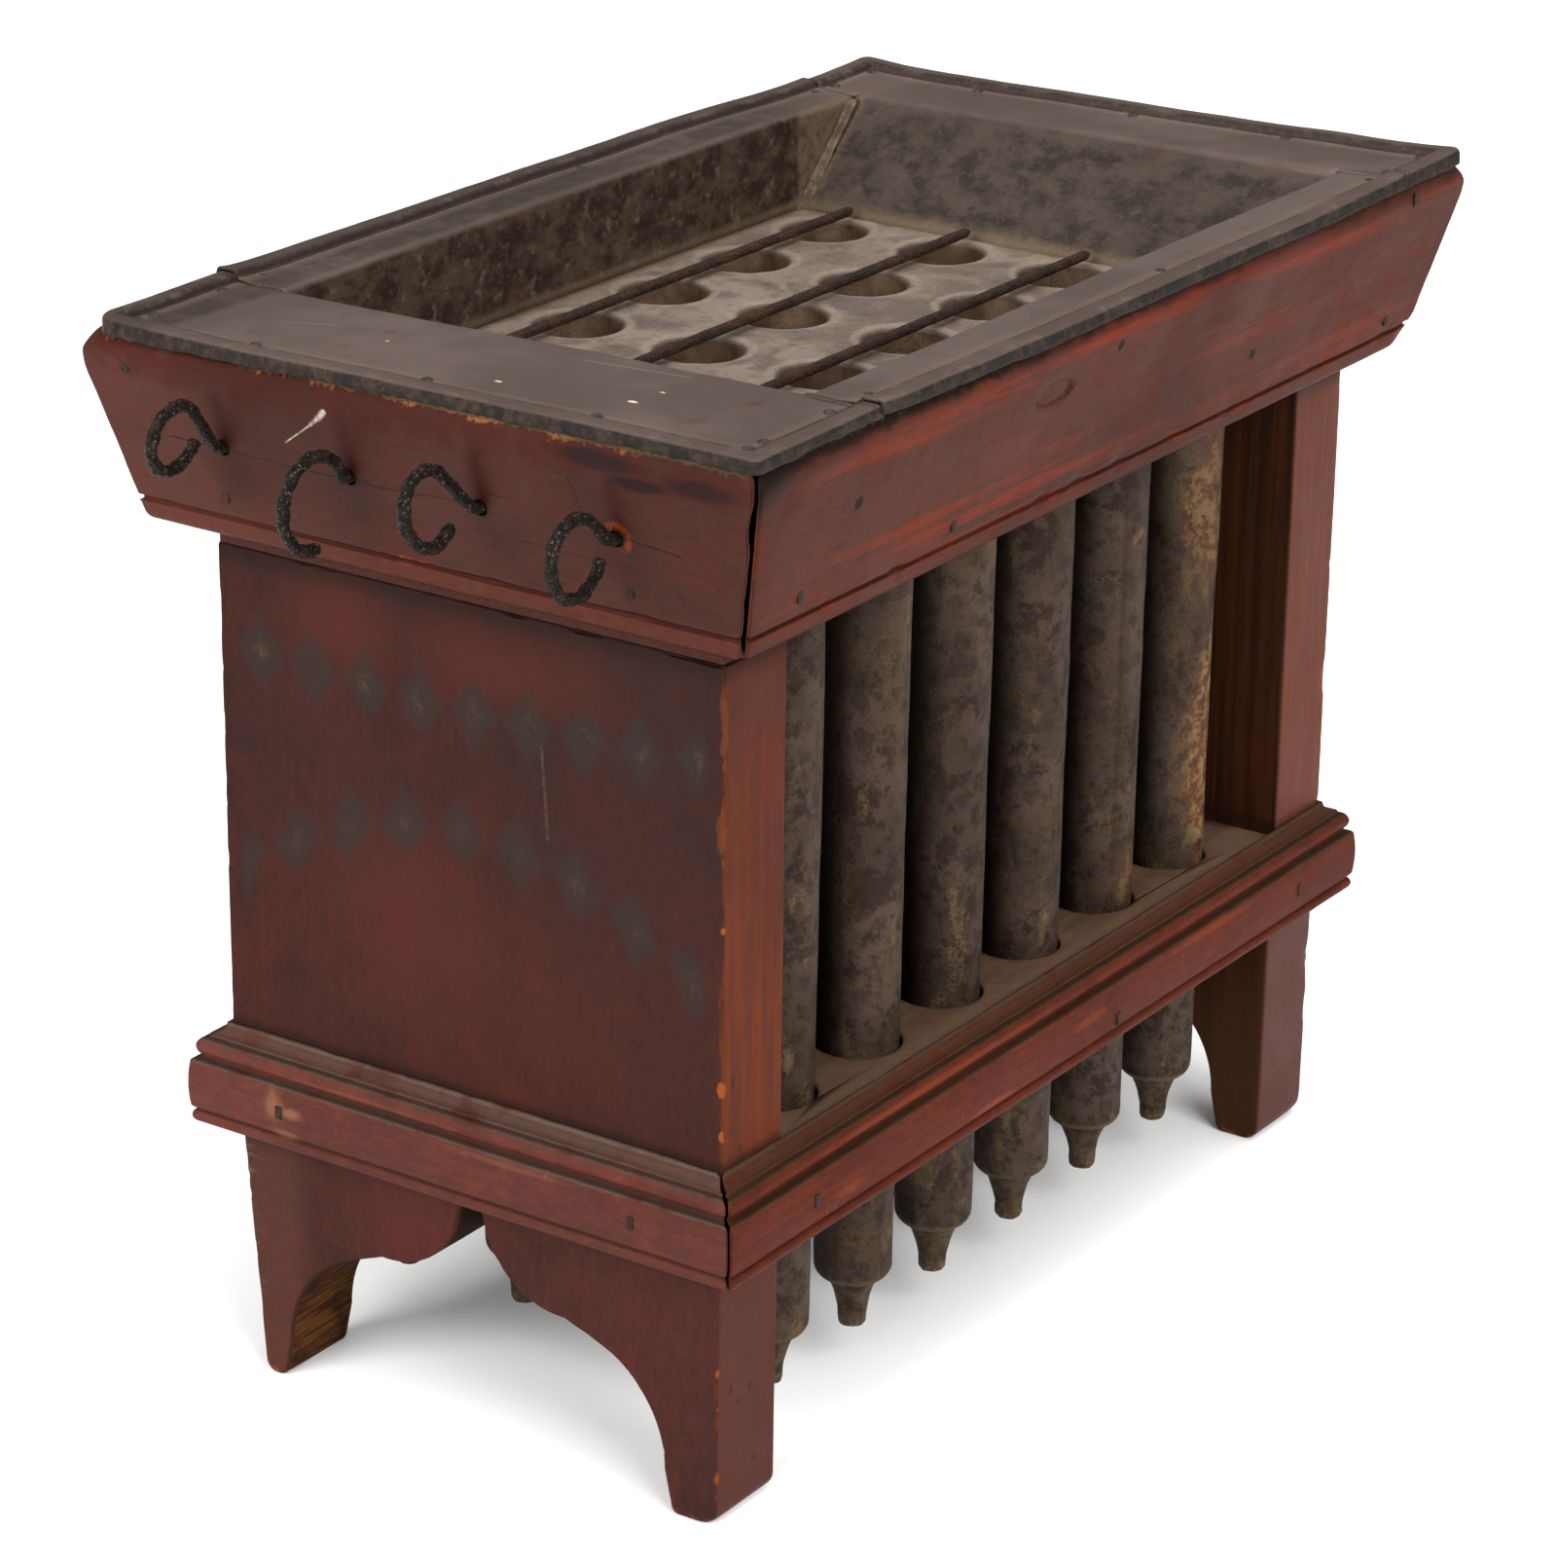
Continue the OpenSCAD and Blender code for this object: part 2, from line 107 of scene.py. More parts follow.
def arc(c, r, a0, a1, n):
    return [(c[0] + r * math.cos(math.radians(a0 + (a1 - a0) * i / n)), c[1] + r * math.sin(math.radians(a0 + (a1 - a0) * i / n))) for i in range(n + 1)]


def fillet(loop, r, steps=3, least=18):
    """Rounds the corners of a closed loop and returns the points with a wear value, 1 on a convex corner."""
    pts = [np.array(p, float) for p in loop]
    pts = [p for i, p in enumerate(pts) if np.linalg.norm(p - pts[i - 1]) > 1e-4]
    n = len(pts)
    area = sum(pts[i - 1][0] * pts[i][1] - pts[i][0] * pts[i - 1][1] for i in range(n))
    if area < 0:
        pts.reverse()
    out, wear = [], []
    for i in range(n):
        p, a, b = pts[i], pts[i - 1], pts[(i + 1) % n]
        u, v = a - p, b - p
        lu, lv = np.linalg.norm(u), np.linalg.norm(v)
        u, v = u / lu, v / lv
        turn = math.degrees(math.atan2(-u[0] * v[1] + u[1] * v[0], -(u[0] * v[0] + u[1] * v[1])))
        if abs(turn) < least:
            out.append(p)
            wear.append(0.0)
            continue
        k = min(r * math.tan(math.radians(abs(turn)) / 2), 0.42 * lu, 0.42 * lv)
        for j in range(steps + 1):
            t = j / steps
            out.append((p + u * k) * (1 - t) ** 2 + 2 * p * t * (1 - t) + (p + v * k) * t * t)
            wear.append(min(1.0, turn / 60) if turn > 0 else 0.0)
    return np.array(out), np.array(wear)


def densify(loop, wear, seg):
    P, W = [], []
    n = len(loop)
    for i in range(n):
        a, b = loop[i], loop[(i + 1) % n]
        k = max(1, int(math.ceil(np.linalg.norm(b - a) / seg)))
        for j in range(k):
            P.append(a + (b - a) * j / k)
            W.append(wear[i] if j == 0 else -1)
    P, W = np.array(P), np.array(W)
    n = len(P)
    L = np.concatenate([[0], np.cumsum(np.linalg.norm(np.diff(np.vstack([P, P[:1]]), axis=0), axis=1))])
    tot = L[-1]
    L = L[:-1]
    hot = [(L[i], W[i]) for i in range(n) if W[i] > 0.2]
    out = np.zeros(n)
    for l, w in hot:
        d = np.abs(L - l)
        d = np.minimum(d, tot - d)
        out = np.maximum(out, w * np.exp(-d / 1.6))
    return P, out


def normals2(loop):
    """Outward normals of a counter-clockwise closed loop."""
    t = np.roll(loop, -1, 0) - np.roll(loop, 1, 0)
    t /= np.maximum(np.linalg.norm(t, axis=1), 1e-9)[:, None]
    return np.stack([t[:, 1], -t[:, 0]], 1)


# ---------------------------------------------------------------- mesh making
def build(name, V, F, body, nodes, mat, attrs=None, angle=34, weld=0):
    """V in mm about the frame's middle."""
    V = np.asarray(V, float).copy()
    V[:, 0] += SX
    me = bpy.data.meshes.new(name)
    me.from_pydata((V / 1000).tolist(), [], F)
    me.update()
    for k, val in (attrs or {}).items():
        at = me.attributes.new(k, "FLOAT", "POINT")
        at.data.foreach_set("value", np.asarray(val, np.float32))
    if weld:
        bm = bmesh.new()
        bm.from_mesh(me)
        bmesh.ops.remove_doubles(bm, verts=bm.verts, dist=weld / 1000)
        bm.to_mesh(me)
        bm.free()
    me.validate()
    me.update()
    me.polygons.foreach_set("use_smooth", [True] * len(me.polygons))
    if angle < 170:
        me.set_sharp_from_angle(angle=math.radians(angle))
    ob = bpy.data.objects.new(name, me)
    scene.collection.objects.link(ob)
    me.materials.append(mat)
    if nodes:
        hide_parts(*nodes)
    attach(ob, body)
    return ob


def grid_faces(m, n, close=True, off=0, flip=False):
    F = []
    for j in range(m - 1):
        for i in range(n if close else n - 1):
            a, b = off + j * n + i, off + j * n + (i + 1) % n
            c, d = b + n, a + n
            F.append((a, d, c, b) if flip else (a, b, c, d))
    return F


def rot(s, X, Y, Z):
    c, q = round(math.cos(math.radians(s))), round(math.sin(math.radians(s)))
    return np.stack([X * c - Y * q, X * q + Y * c, Z], -1)


def bar(loop, wear, smin, smax, s, step=2.0, r=0.7):
    """Sweeps a counter-clockwise section (out, up) along a bar whose ends follow smin, smax."""
    n = len(loop)
    N = normals2(loop)
    L = float(np.median(smax - smin))
    ds = [0, 0.12, 0.35, r, 1.6, 3.0]
    mid = np.linspace(4.5, L - 4.5, max(3, int((L - 9) / step)))
    st = [(d, True) for d in ds] + [(d, None) for d in mid] + [(L - d, False) for d in reversed(ds)]
    rows, ws = [], []
    for d, side in st:
        e = d if side else (L - d if side is False else 99)
        e = min(d, L - d)
        inset = r - math.sqrt(max(0, r * r - (r - e) ** 2)) if e < r else 0
        q = loop - N * inset
        u = d / L
        Y = smin + u * (smax - smin)
        rows.append(rot(s, q[:, 0], Y, q[:, 1]))
        ws.append(np.maximum(wear, 0.5 * math.exp(-e / 1.2)))
    V = np.concatenate(rows)
    m = len(rows)
    F = grid_faces(m, n, True, 0, True)
    F.append(tuple(range(n)))
    F.append(tuple((m - 1) * n + i for i in reversed(range(n))))
    return V, F, np.concatenate(ws), m, n


def fix_normals(V, F):
    """Turns the faces outward by the sign of the volume."""
    vol = 0.0
    for f in F[: len(F)]:
        p = V[f[0]]
        for i in range(1, len(f) - 1):
            vol += np.dot(p, np.cross(V[f[i]], V[f[i + 1]]))
    return [tuple(reversed(f)) for f in F] if vol < 0 else F


# ---------------------------------------------------------------- node materials
def S(r, g, b, k=0.56):
    f = lambda c: k * (c / 255 / 12.92 if c / 255 <= 0.04045 else ((c / 255 + 0.055) / 1.055) ** 2.4)
    return (f(r), f(g), f(b), 1.0)


class Mat:
    """A Principled material and the few node calls it takes to paint it. P is the place in mm about the frame's middle."""

    def __init__(s, name):
        s.mat = bpy.data.materials.new(name)
        s.mat.use_nodes = True
        s.nt = s.mat.node_tree
        s.nt.nodes.clear()
        s.out = s.nt.nodes.new("ShaderNodeOutputMaterial")
        s.b = s.nt.nodes.new("ShaderNodeBsdfPrincipled")
        s.nt.links.new(s.b.outputs[0], s.out.inputs[0])
        s.b.inputs["Specular IOR Level"].default_value = 0.12
        tc = s.nt.nodes.new("ShaderNodeTexCoord")
        mp = s.nt.nodes.new("ShaderNodeMapping")
        mp.inputs["Scale"].default_value = (1000, 1000, 1000)
        mp.inputs["Location"].default_value = (-SX, 0, 0)
        s.nt.links.new(tc.outputs["Object"], mp.inputs[0])
        s.P = mp.outputs[0]
        sep = s.nt.nodes.new("ShaderNodeSeparateXYZ")
        s.nt.links.new(s.P, sep.inputs[0])
        s.x, s.y, s.z = sep.outputs
        s._nz = None

    gain = (1.0, 1.0, 1.0)

    def U(s, r, g, b, k=0.72):
        """A colour that keeps its own hue under the material's gain."""
        c = S(r, g, b)
        return tuple(min(1.0, c[i] * k / s.gain[i]) for i in range(3)) + (1.0,)

    def con(s, v, sock):
        if isinstance(v, bpy.types.NodeSocket):
            s.nt.links.new(v, sock)
        else:
            sock.default_value = v

    def m(s, op, a, b=0.0, c=None, clamp=False):
        n = s.nt.nodes.new("ShaderNodeMath")
        n.operation = op
        n.use_clamp = clamp
        s.con(a, n.inputs[0])
        s.con(b, n.inputs[1])
        if c is not None:
            s.con(c, n.inputs[2])
        return n.outputs[0]

    def add(s, *v):
        o = v[0]
        for k in v[1:]:
            o = s.m("ADD", o, k)
        return o

    def mul(s, *v):
        o = v[0]
        for k in v[1:]:
            o = s.m("MULTIPLY", o, k)
        return o

    def sub(s, a, b): return s.m("SUBTRACT", a, b)
    def mx(s, a, b): return s.m("MAXIMUM", a, b)
    def inv(s, a): return s.m("SUBTRACT", 1.0, a)

    def sm(s, v, a, b, lo=0.0, hi=1.0):
        """Smooth step from lo at a to hi at b."""
        n = s.nt.nodes.new("ShaderNodeMapRange")
        n.interpolation_type = "SMOOTHSTEP"
        if a > b:
            a, b, lo, hi = b, a, hi, lo
        s.con(v, n.inputs[0])
        for k, q in zip((1, 2, 3, 4), (a, b, lo, hi)):
            n.inputs[k].default_value = q
        return n.outputs[0]

    def band(s, v, a, b, soft):
        return s.mul(s.sm(v, a - soft, a + soft), s.sm(v, b + soft, b - soft))

    def bell(s, v, c, w):
        d = s.m("DIVIDE", s.sub(v, c), w)
        return s.m("EXPONENT", s.mul(s.m("MULTIPLY", d, d), -1.0))

    def at(s, scale, loc=(0, 0, 0), vec=None):
        mp = s.nt.nodes.new("ShaderNodeMapping")
        mp.inputs["Scale"].default_value = scale if hasattr(scale, "__len__") else (scale,) * 3
        mp.inputs["Location"].default_value = loc
        s.nt.links.new(vec or s.P, mp.inputs[0])
        return mp.outputs[0]

    def noise(s, scale, detail=3, rough=0.55, seed=0, dist=0.0, vec=None):
        n = s.nt.nodes.new("ShaderNodeTexNoise")
        s.nt.links.new(s.at(scale, (seed * 3.7, seed * 1.9, seed * 5.3), vec), n.inputs["Vector"])
        n.inputs["Scale"].default_value = 1.0
        n.inputs["Detail"].default_value = detail
        n.inputs["Roughness"].default_value = rough
        n.inputs["Distortion"].default_value = dist
        return n.outputs[0]

    def cells(s, scale, seed=0, rnd=1.0, kind="F1", out="Distance", vec=None):
        n = s.nt.nodes.new("ShaderNodeTexVoronoi")
        n.feature = kind
        s.nt.links.new(s.at(scale, (seed * 3.1, seed * 4.7, seed * 1.3), vec), n.inputs["Vector"])
        n.inputs["Scale"].default_value = 1.0
        n.inputs["Randomness"].default_value = rnd
        return n.outputs[out]

    def mix(s, f, a, b, mode="MIX"):
        n = s.nt.nodes.new("ShaderNodeMix")
        n.data_type = "RGBA"
        n.blend_type = mode
        s.con(f, n.inputs["Factor"])
        s.con(a, [i for i in n.inputs if i.name == "A" and i.type == "RGBA"][0])
        s.con(b, [i for i in n.inputs if i.name == "B" and i.type == "RGBA"][0])
        return [o for o in n.outputs if o.type == "RGBA"][0]

    def attr(s, name):
        n = s.nt.nodes.new("ShaderNodeAttribute")
        n.attribute_name = name
        return n.outputs["Fac"]

    def normal(s):
        if s._nz is None:
            g = s.nt.nodes.new("ShaderNodeNewGeometry")
            sp = s.nt.nodes.new("ShaderNodeSeparateXYZ")
            s.nt.links.new(g.outputs["Normal"], sp.inputs[0])
            s._nz = tuple(sp.outputs)
        return s._nz

    def ao(s, dist, inside=False):
        n = s.nt.nodes.new("ShaderNodeAmbientOcclusion")
        n.samples = 6
        n.inside = inside
        n.inputs["Distance"].default_value = dist
        return n.outputs["AO"]

    def bump(s, h, strength=0.5, dist=0.0004, base=None):
        n = s.nt.nodes.new("ShaderNodeBump")
        n.inputs["Strength"].default_value = strength
        n.inputs["Distance"].default_value = dist
        s.nt.links.new(h, n.inputs["Height"])
        if base is not None:
            s.nt.links.new(base, n.inputs["Normal"])
        return n.outputs[0]

    def line(s, a, b, p, q, w, soft=0.25):
        """1 within w of the segment p-q in the plane of the sockets a, b."""
        dx, dy = q[0] - p[0], q[1] - p[1]
        L2 = dx * dx + dy * dy
        u, v = s.sub(a, p[0]), s.sub(b, p[1])
        t = s.m("DIVIDE", s.add(s.mul(u, dx), s.mul(v, dy)), L2, clamp=True)
        ex, ey = s.sub(u, s.mul(t, dx)), s.sub(v, s.mul(t, dy))
        d = s.m("SQRT", s.add(s.mul(ex, ex), s.mul(ey, ey)))
        return s.sm(d, w + soft, max(0.0, w - soft))

    def dist2(s, a, b, c, ra=1.0, rb=1.0):
        """Elliptic distance from c, 1 on the ellipse of half sizes ra, rb."""
        u, v = s.m("DIVIDE", s.sub(a, c[0]), ra), s.m("DIVIDE", s.sub(b, c[1]), rb)
        return s.m("SQRT", s.add(s.mul(u, u), s.mul(v, v)))

    def blob(s, a, b, c, ra, rb, wob, soft=0.5):
        """A spot with a ragged edge: wob is a 0..1 noise."""
        d = s.add(s.dist2(a, b, c, ra, rb), s.mul(s.sub(wob, 0.5), 1.4))
        return s.sm(d, 1.0 + soft / 2, 1.0 - soft / 2)

    def done(s, color, rough, normal=None, gain=None, spec=None):
        if gain:
            color = s.mix(1.0, color, tuple(gain) + (1.0,), "MULTIPLY")
        if spec is not None:
            s.b.inputs["Specular IOR Level"].default_value = spec
        s.con(color, s.b.inputs["Base Color"])
        s.con(rough, s.b.inputs["Roughness"])
        if normal is not None:
            s.con(normal, s.b.inputs["Normal"])
        return s.mat


def paint(name, ax, tone, feat=None, seed=0, rough=0.42, wear_k=1.0, streak=1.0, gain=None, spec=0.08):
    """Thin worn paint on softwood. ax is the grain's direction; tone holds base, dark, red, raw."""
    s = Mat(name)
    s.gain = gain or s.gain
    base, dark, red, raw = tone
    K = {"x": 0, "y": 1, "z": 2}[ax]
    def an(al, ac):
        v = [ac, ac, ac]
        v[K] = al
        return tuple(v)
    low = s.noise(0.013, 3, 0.55, seed + 1)
    mid = s.noise(0.05, 4, 0.6, seed + 2, 0.4)
    g1 = s.noise(an(0.010, 0.33), 4, 0.62, seed + 3, 0.15)
    g2 = s.noise(an(0.045, 1.7), 3, 0.6, seed + 4)
    g3 = s.noise(an(0.9, 0.10), 3, 0.6, seed + 5)
    fine = s.noise(1.9, 4, 0.65, seed + 6)
    spot = s.noise(0.22, 4, 0.6, seed + 7)
    c = s.mix(s.sm(low, 0.40, 0.62), base, dark)
    c = s.mix(s.mul(s.sm(mid, 0.50, 0.74), 0.55), c, red)
    c = s.mix(s.mul(s.sm(g1, 0.54, 0.76), 0.55 * streak), c, red)
    c = s.mix(s.mul(s.sm(g2, 0.52, 0.72), 0.36), c, s.mix(0.5, dark, (0.008, 0.005, 0.004, 1)))
    c = s.mix(s.mul(s.sm(g3, 0.5, 0.8), 0.14), c, red)
    c = s.mix(s.mul(s.sm(fine, 0.35, 0.7), 0.16), c, dark)
    weave = s.noise(an(0.22, 0.55), 5, 0.72, seed + 14)
    c = s.mix(s.mul(s.sm(weave, 0.50, 0.62), 0.30), c, s.mix(0.55, dark, (0.008, 0.005, 0.004, 1)))
    c = s.mix(s.mul(s.sm(weave, 0.47, 0.36), 0.34), c, red)
    fleck = s.sm(s.noise(an(0.6, 1.5), 3, 0.6, seed + 15), 0.66, 0.72)
    c = s.mix(s.mul(fleck, s.sm(mid, 0.45, 0.6), 0.35), c, raw)
    # dents and pores, dark
    c = s.mix(s.mul(s.sm(s.noise(an(0.25, 0.9), 2, 0.5, seed + 9), 0.70, 0.76), 0.7), c, s.mix(0.6, dark, (0.006, 0.004, 0.004, 1)))
    w = s.mul(s.attr("wear"), wear_k)
    wn = s.add(w, s.mul(s.sub(spot, 0.5), 1.0), s.mul(s.sub(mid, 0.5), 1.3), s.mul(s.sub(fine, 0.5), 0.35))
    half = s.sm(wn, 0.42, 0.85)
    full = s.sm(wn, 0.86, 1.06)
    c = s.mix(s.mul(half, 0.85), c, red)
    c = s.mix(full, c, raw)
    h = s.add(s.mul(g2, 0.5), s.mul(fine, 0.35), s.mul(g3, 0.15), s.mul(full, -0.8), s.mul(spot, 0.25), s.mul(weave, 0.45))
    r = s.add(s.mul(s.sub(fine, 0.5), 0.30), s.mul(s.sub(mid, 0.5), 0.35), s.mul(full, 0.22), rough)
    if feat:
        c, r, h = feat(s, c, r, h, dict(low=low, mid=mid, g1=g1, g2=g2, fine=fine, spot=spot, full=full, half=half, wear=w))
    return s.done(c, r, s.bump(h, 0.55, 0.00035), gain, spec)


def mark_row(s, a, v, pitch, off, ra, rb, wob):
    """A row of plain faded lozenges along a, centred on v = 0."""
    cu = s.m("WRAP", s.add(a, off), pitch / 2, -pitch / 2)
    d = s.add(s.m("DIVIDE", s.m("ABSOLUTE", cu), ra), s.m("DIVIDE", s.m("ABSOLUTE", v), rb), s.mul(s.sub(wob, 0.5), 0.9))
    return d


def feat_end(side):
    def f(s, c, r, h, k):
        inner = s.sm(s.mul(s.x, side), BL - BT + 0.5, BL - BT + 0.1)
        ny = s.normal()[1]
        nx = s.normal()[0]
        edge = s.mul(s.sm(s.m("ABSOLUTE", ny), 0.80, 0.95), s.sm(s.m("ABSOLUTE", s.y), BW - 12, BW - 9))
        # the edge grain, rubbed to orange
        g = s.noise((0.34, 0.34, 0.02), 4, 0.6, 31)
        ec = s.mix(s.sm(g, 0.34, 0.70), S(112, 57, 37), S(146, 66, 26))
        ec = s.mix(s.mul(s.sm(k["low"], 0.40, 0.60), s.sm(s.z, 60, 95), 0.45), ec, S(104, 52, 36))
        ec = s.mix(s.mul(s.sm(k["g2"], 0.54, 0.70), 0.25), ec, S(70, 36, 26))
        ec = s.mix(s.sm(s.z, 95, 60), ec, S(104, 58, 50))
        c = s.mix(s.mul(edge, s.inv(k["half"])), c, ec)
        c = s.mix(s.mul(s.sm(s.z, 90, 102), s.inv(edge), 0.24), c, (0, 0, 0, 1))
        if side < 0:
            # stained and darkened patches on the outer face
            wob = s.noise(0.035, 4, 0.6, 77)
            for (py, pz, ra, rb, q) in ((-50, 195, 32, 42, 0.62), (-60, 135, 24, 38, 0.40), (30, 232, 46, 12, 0.42), (14, 178, 60, 18, 0.42), (-62, 226, 20, 16, 0.55), (62, 205, 16, 30, 0.3)):
                c = s.mix(s.mul(s.blob(s.y, s.z, (py, pz), ra, rb, wob, 1.6), q, 0.75), c, S(64, 43, 43))
            for (py, pz, ra, rb, q) in ((40, 228, 16, 10, 0.5), (-14, 226, 26, 9, 0.45), (16, 150, 20, 26, 0.35), (20, 62, 26, 18, 0.35), (-6, 128, 34, 30, 0.25)):
                c = s.mix(s.mul(s.blob(s.y, s.z, (py, pz), ra, rb, wob, 1.8), q, 0.75), c, S(120, 56, 44))
            # two faded rows of plain lozenges
            w1 = s.noise(0.16, 5, 0.68, 41)
            w2 = s.noise(0.7, 4, 0.7, 43)
            v1 = s.sub(s.z, s.add(212.0, s.mul(s.m("MULTIPLY", s.y, s.y), 0.0005)))
            v2 = s.sub(s.z, s.add(178.5, s.mul(s.m("MULTIPLY", s.y, s.y), -0.0047)))
            lim = s.sm(s.m("ABSOLUTE", s.y), 77, 74)
            out_face = s.sm(nx, -0.7, -0.9)
            for v, p, off, a, b, pale in ((v1, 17.6, 3.0, 8.0, 10.4, 0.42), (v2, 18.4, -1.5, 7.8, 10.0, 0.24)):
                d = mark_row(s, s.y, v, p, off, a, b, w1)
                m1 = s.mul(s.sm(d, 1.30, 0.62), lim, out_face, s.sm(w2, 0.30, 0.62, 0.35, 1.0))
                c = s.mix(s.mul(m1, 0.82), c, s.U(58, 52, 48))
                m2 = s.mul(s.sm(d, 0.62, 0.12), lim, out_face, s.sm(w1, 0.42, 0.62))
                c = s.mix(s.mul(m2, s.sm(w2, 0.36, 0.56), pale * 1.3), c, s.U(104, 90, 66))
            # a pale scratch and small dark nicks
            sc = s.line(s.y, s.z, (-24.6, 208), (-26.5, 183), 0.22, 0.6)
            c = s.mix(s.mul(sc, s.sm(w2, 0.36, 0.58), 0.42), c, s.U(118, 100, 88))
            bk = s.mul(s.sm(s.y, 52, 64), s.sm(s.z, 76, 66), out_face)
            c = s.mix(s.mul(bk, 0.40), c, S(122, 78, 66))
            nick = s.mul(s.sm(s.noise((0.3, 0.55, 0.16), 2, 0.5, 51), 0.66, 0.72), s.sm(s.z, 165, 120), s.sm(s.y, 0, -25))
            c = s.mix(s.mul(nick, 0.6), c, S(44, 34, 36))
            # pale scuffs down the back edge of the foot
            rub = s.mul(s.sm(s.noise((0.2, 0.08, 0.42), 3, 0.6, 53), 0.54, 0.66), s.sm(s.y, BW - 12, BW - 3), s.band(s.z, 18, 72, 6), out_face)
            c = s.mix(s.mul(rub, 0.5), c, s.U(150, 130, 106))
        # the worn corner along the front edge
        da = s.m("SQRT", s.add(s.m("POWER", s.m("ABSOLUTE", s.sub(s.mul(s.x, side), BL)), 2.0), s.m("POWER", s.m("ABSOLUTE", s.add(s.y, BW)), 2.0)))
        chip = s.noise((0.12, 0.12, 0.075), 3, 0.6, 61)
        a1 = s.sm(s.add(da, s.mul(s.sub(chip, 0.5), -9.0), s.mul(s.sub(k["spot"], 0.5), -2.0)), 2.0, 0.7)
        a2 = s.sm(s.add(da, s.mul(s.sub(chip, 0.56), -14.0), s.mul(s.sub(k["fine"], 0.5), -1.2)), 0.9, 0.3)
        zl = s.add(s.sm(s.z, 100, 112), s.mul(s.sm(s.z, 112, 100), s.sm(chip, 0.55, 0.62)))
        side_f = s.sm(s.m("ABSOLUTE", ny), 0.30, 0.6)
        c = s.mix(s.mul(a1, zl, s.sm(k["mid"], 0.36, 0.58), s.add(0.06, s.mul(side_f, 0.60))), c, S(126, 64, 32))
        wsp = s.noise(0.55, 4, 0.65, 63)
        for z0, ra, rb in ((45.5, 1.5, 2.2), (35.3, 1.2, 1.2), (15.0, 1.6, 2.6), (9.0, 1.2, 1.2), (127.0, 1.6, 2.2), (114.0, 1.1, 1.7), (171.0, 0.9, 1.0)):
            c = s.mix(s.mul(s.blob(da, s.z, (0.0, z0), ra, rb, wsp, 0.5), 0.9), c, S(176, 98, 42))
        c = s.mix(s.mul(a2, zl, s.sm(k["low"], 0.52, 0.62), 0.4), c, S(150, 84, 40))
        # unpainted inside face, dark with age
        ig = s.noise((0.5, 0.32, 0.010), 4, 0.6, 71)
        ic = s.mix(s.sm(ig, 0.38, 0.66), S(50, 25, 11), S(80, 42, 17))
        ic = s.mix(s.mul(s.sm(s.z, 80, 30), 0.5), ic, S(92, 60, 36))
        c = s.mix(inner, c, ic)
        # sawn faces of the bracket foot
        arch = s.attr("arch")
        saw = s.noise((0.06, 0.9, 0.9), 3, 0.6, 73)
        ac = s.mix(s.sm(saw, 0.40, 0.64), S(74, 44, 24), S(128, 82, 40))
        ac = s.mix(s.mul(s.sm(k["mid"], 0.48, 0.66), 0.8), ac, S(44, 34, 30))
        ac = s.mix(s.sm(s.z, 26, 60), ac, S(58, 42, 34))
        c = s.mix(arch, c, ac)
        # bottom ends of the feet
        c = s.mix(s.mul(s.sm(s.z, 2.4, 0.6), s.sm(k["spot"], 0.42, 0.60)), c, S(158, 102, 54))
        # painted shade: a dark band under the hopper's overhang and in the joint over the moulding
        c = s.mix(s.mul(s.add(s.sm(s.z, BH - 7, BH - 1), s.mul(s.band(s.z, MZ - 1, MZ + 2.2, 1.2), 1.0)), 0.55), c, S(40, 30, 27))
        r = s.add(r, s.mul(s.add(inner, arch), 0.25))
        return c, r, s.add(h, s.mul(arch, s.mul(saw, 1.2)))
    return f


def mitre_gap_shade(s, c):
    # paints the mitre faces near-black: painted shade inside the open corner joints
    nx, ny, _ = s.normal()
    mm = s.sm(s.m("MINIMUM", s.m("ABSOLUTE", nx), s.m("ABSOLUTE", ny)), 0.56, 0.66)
    return s.mix(mm, c, S(16, 11, 9))


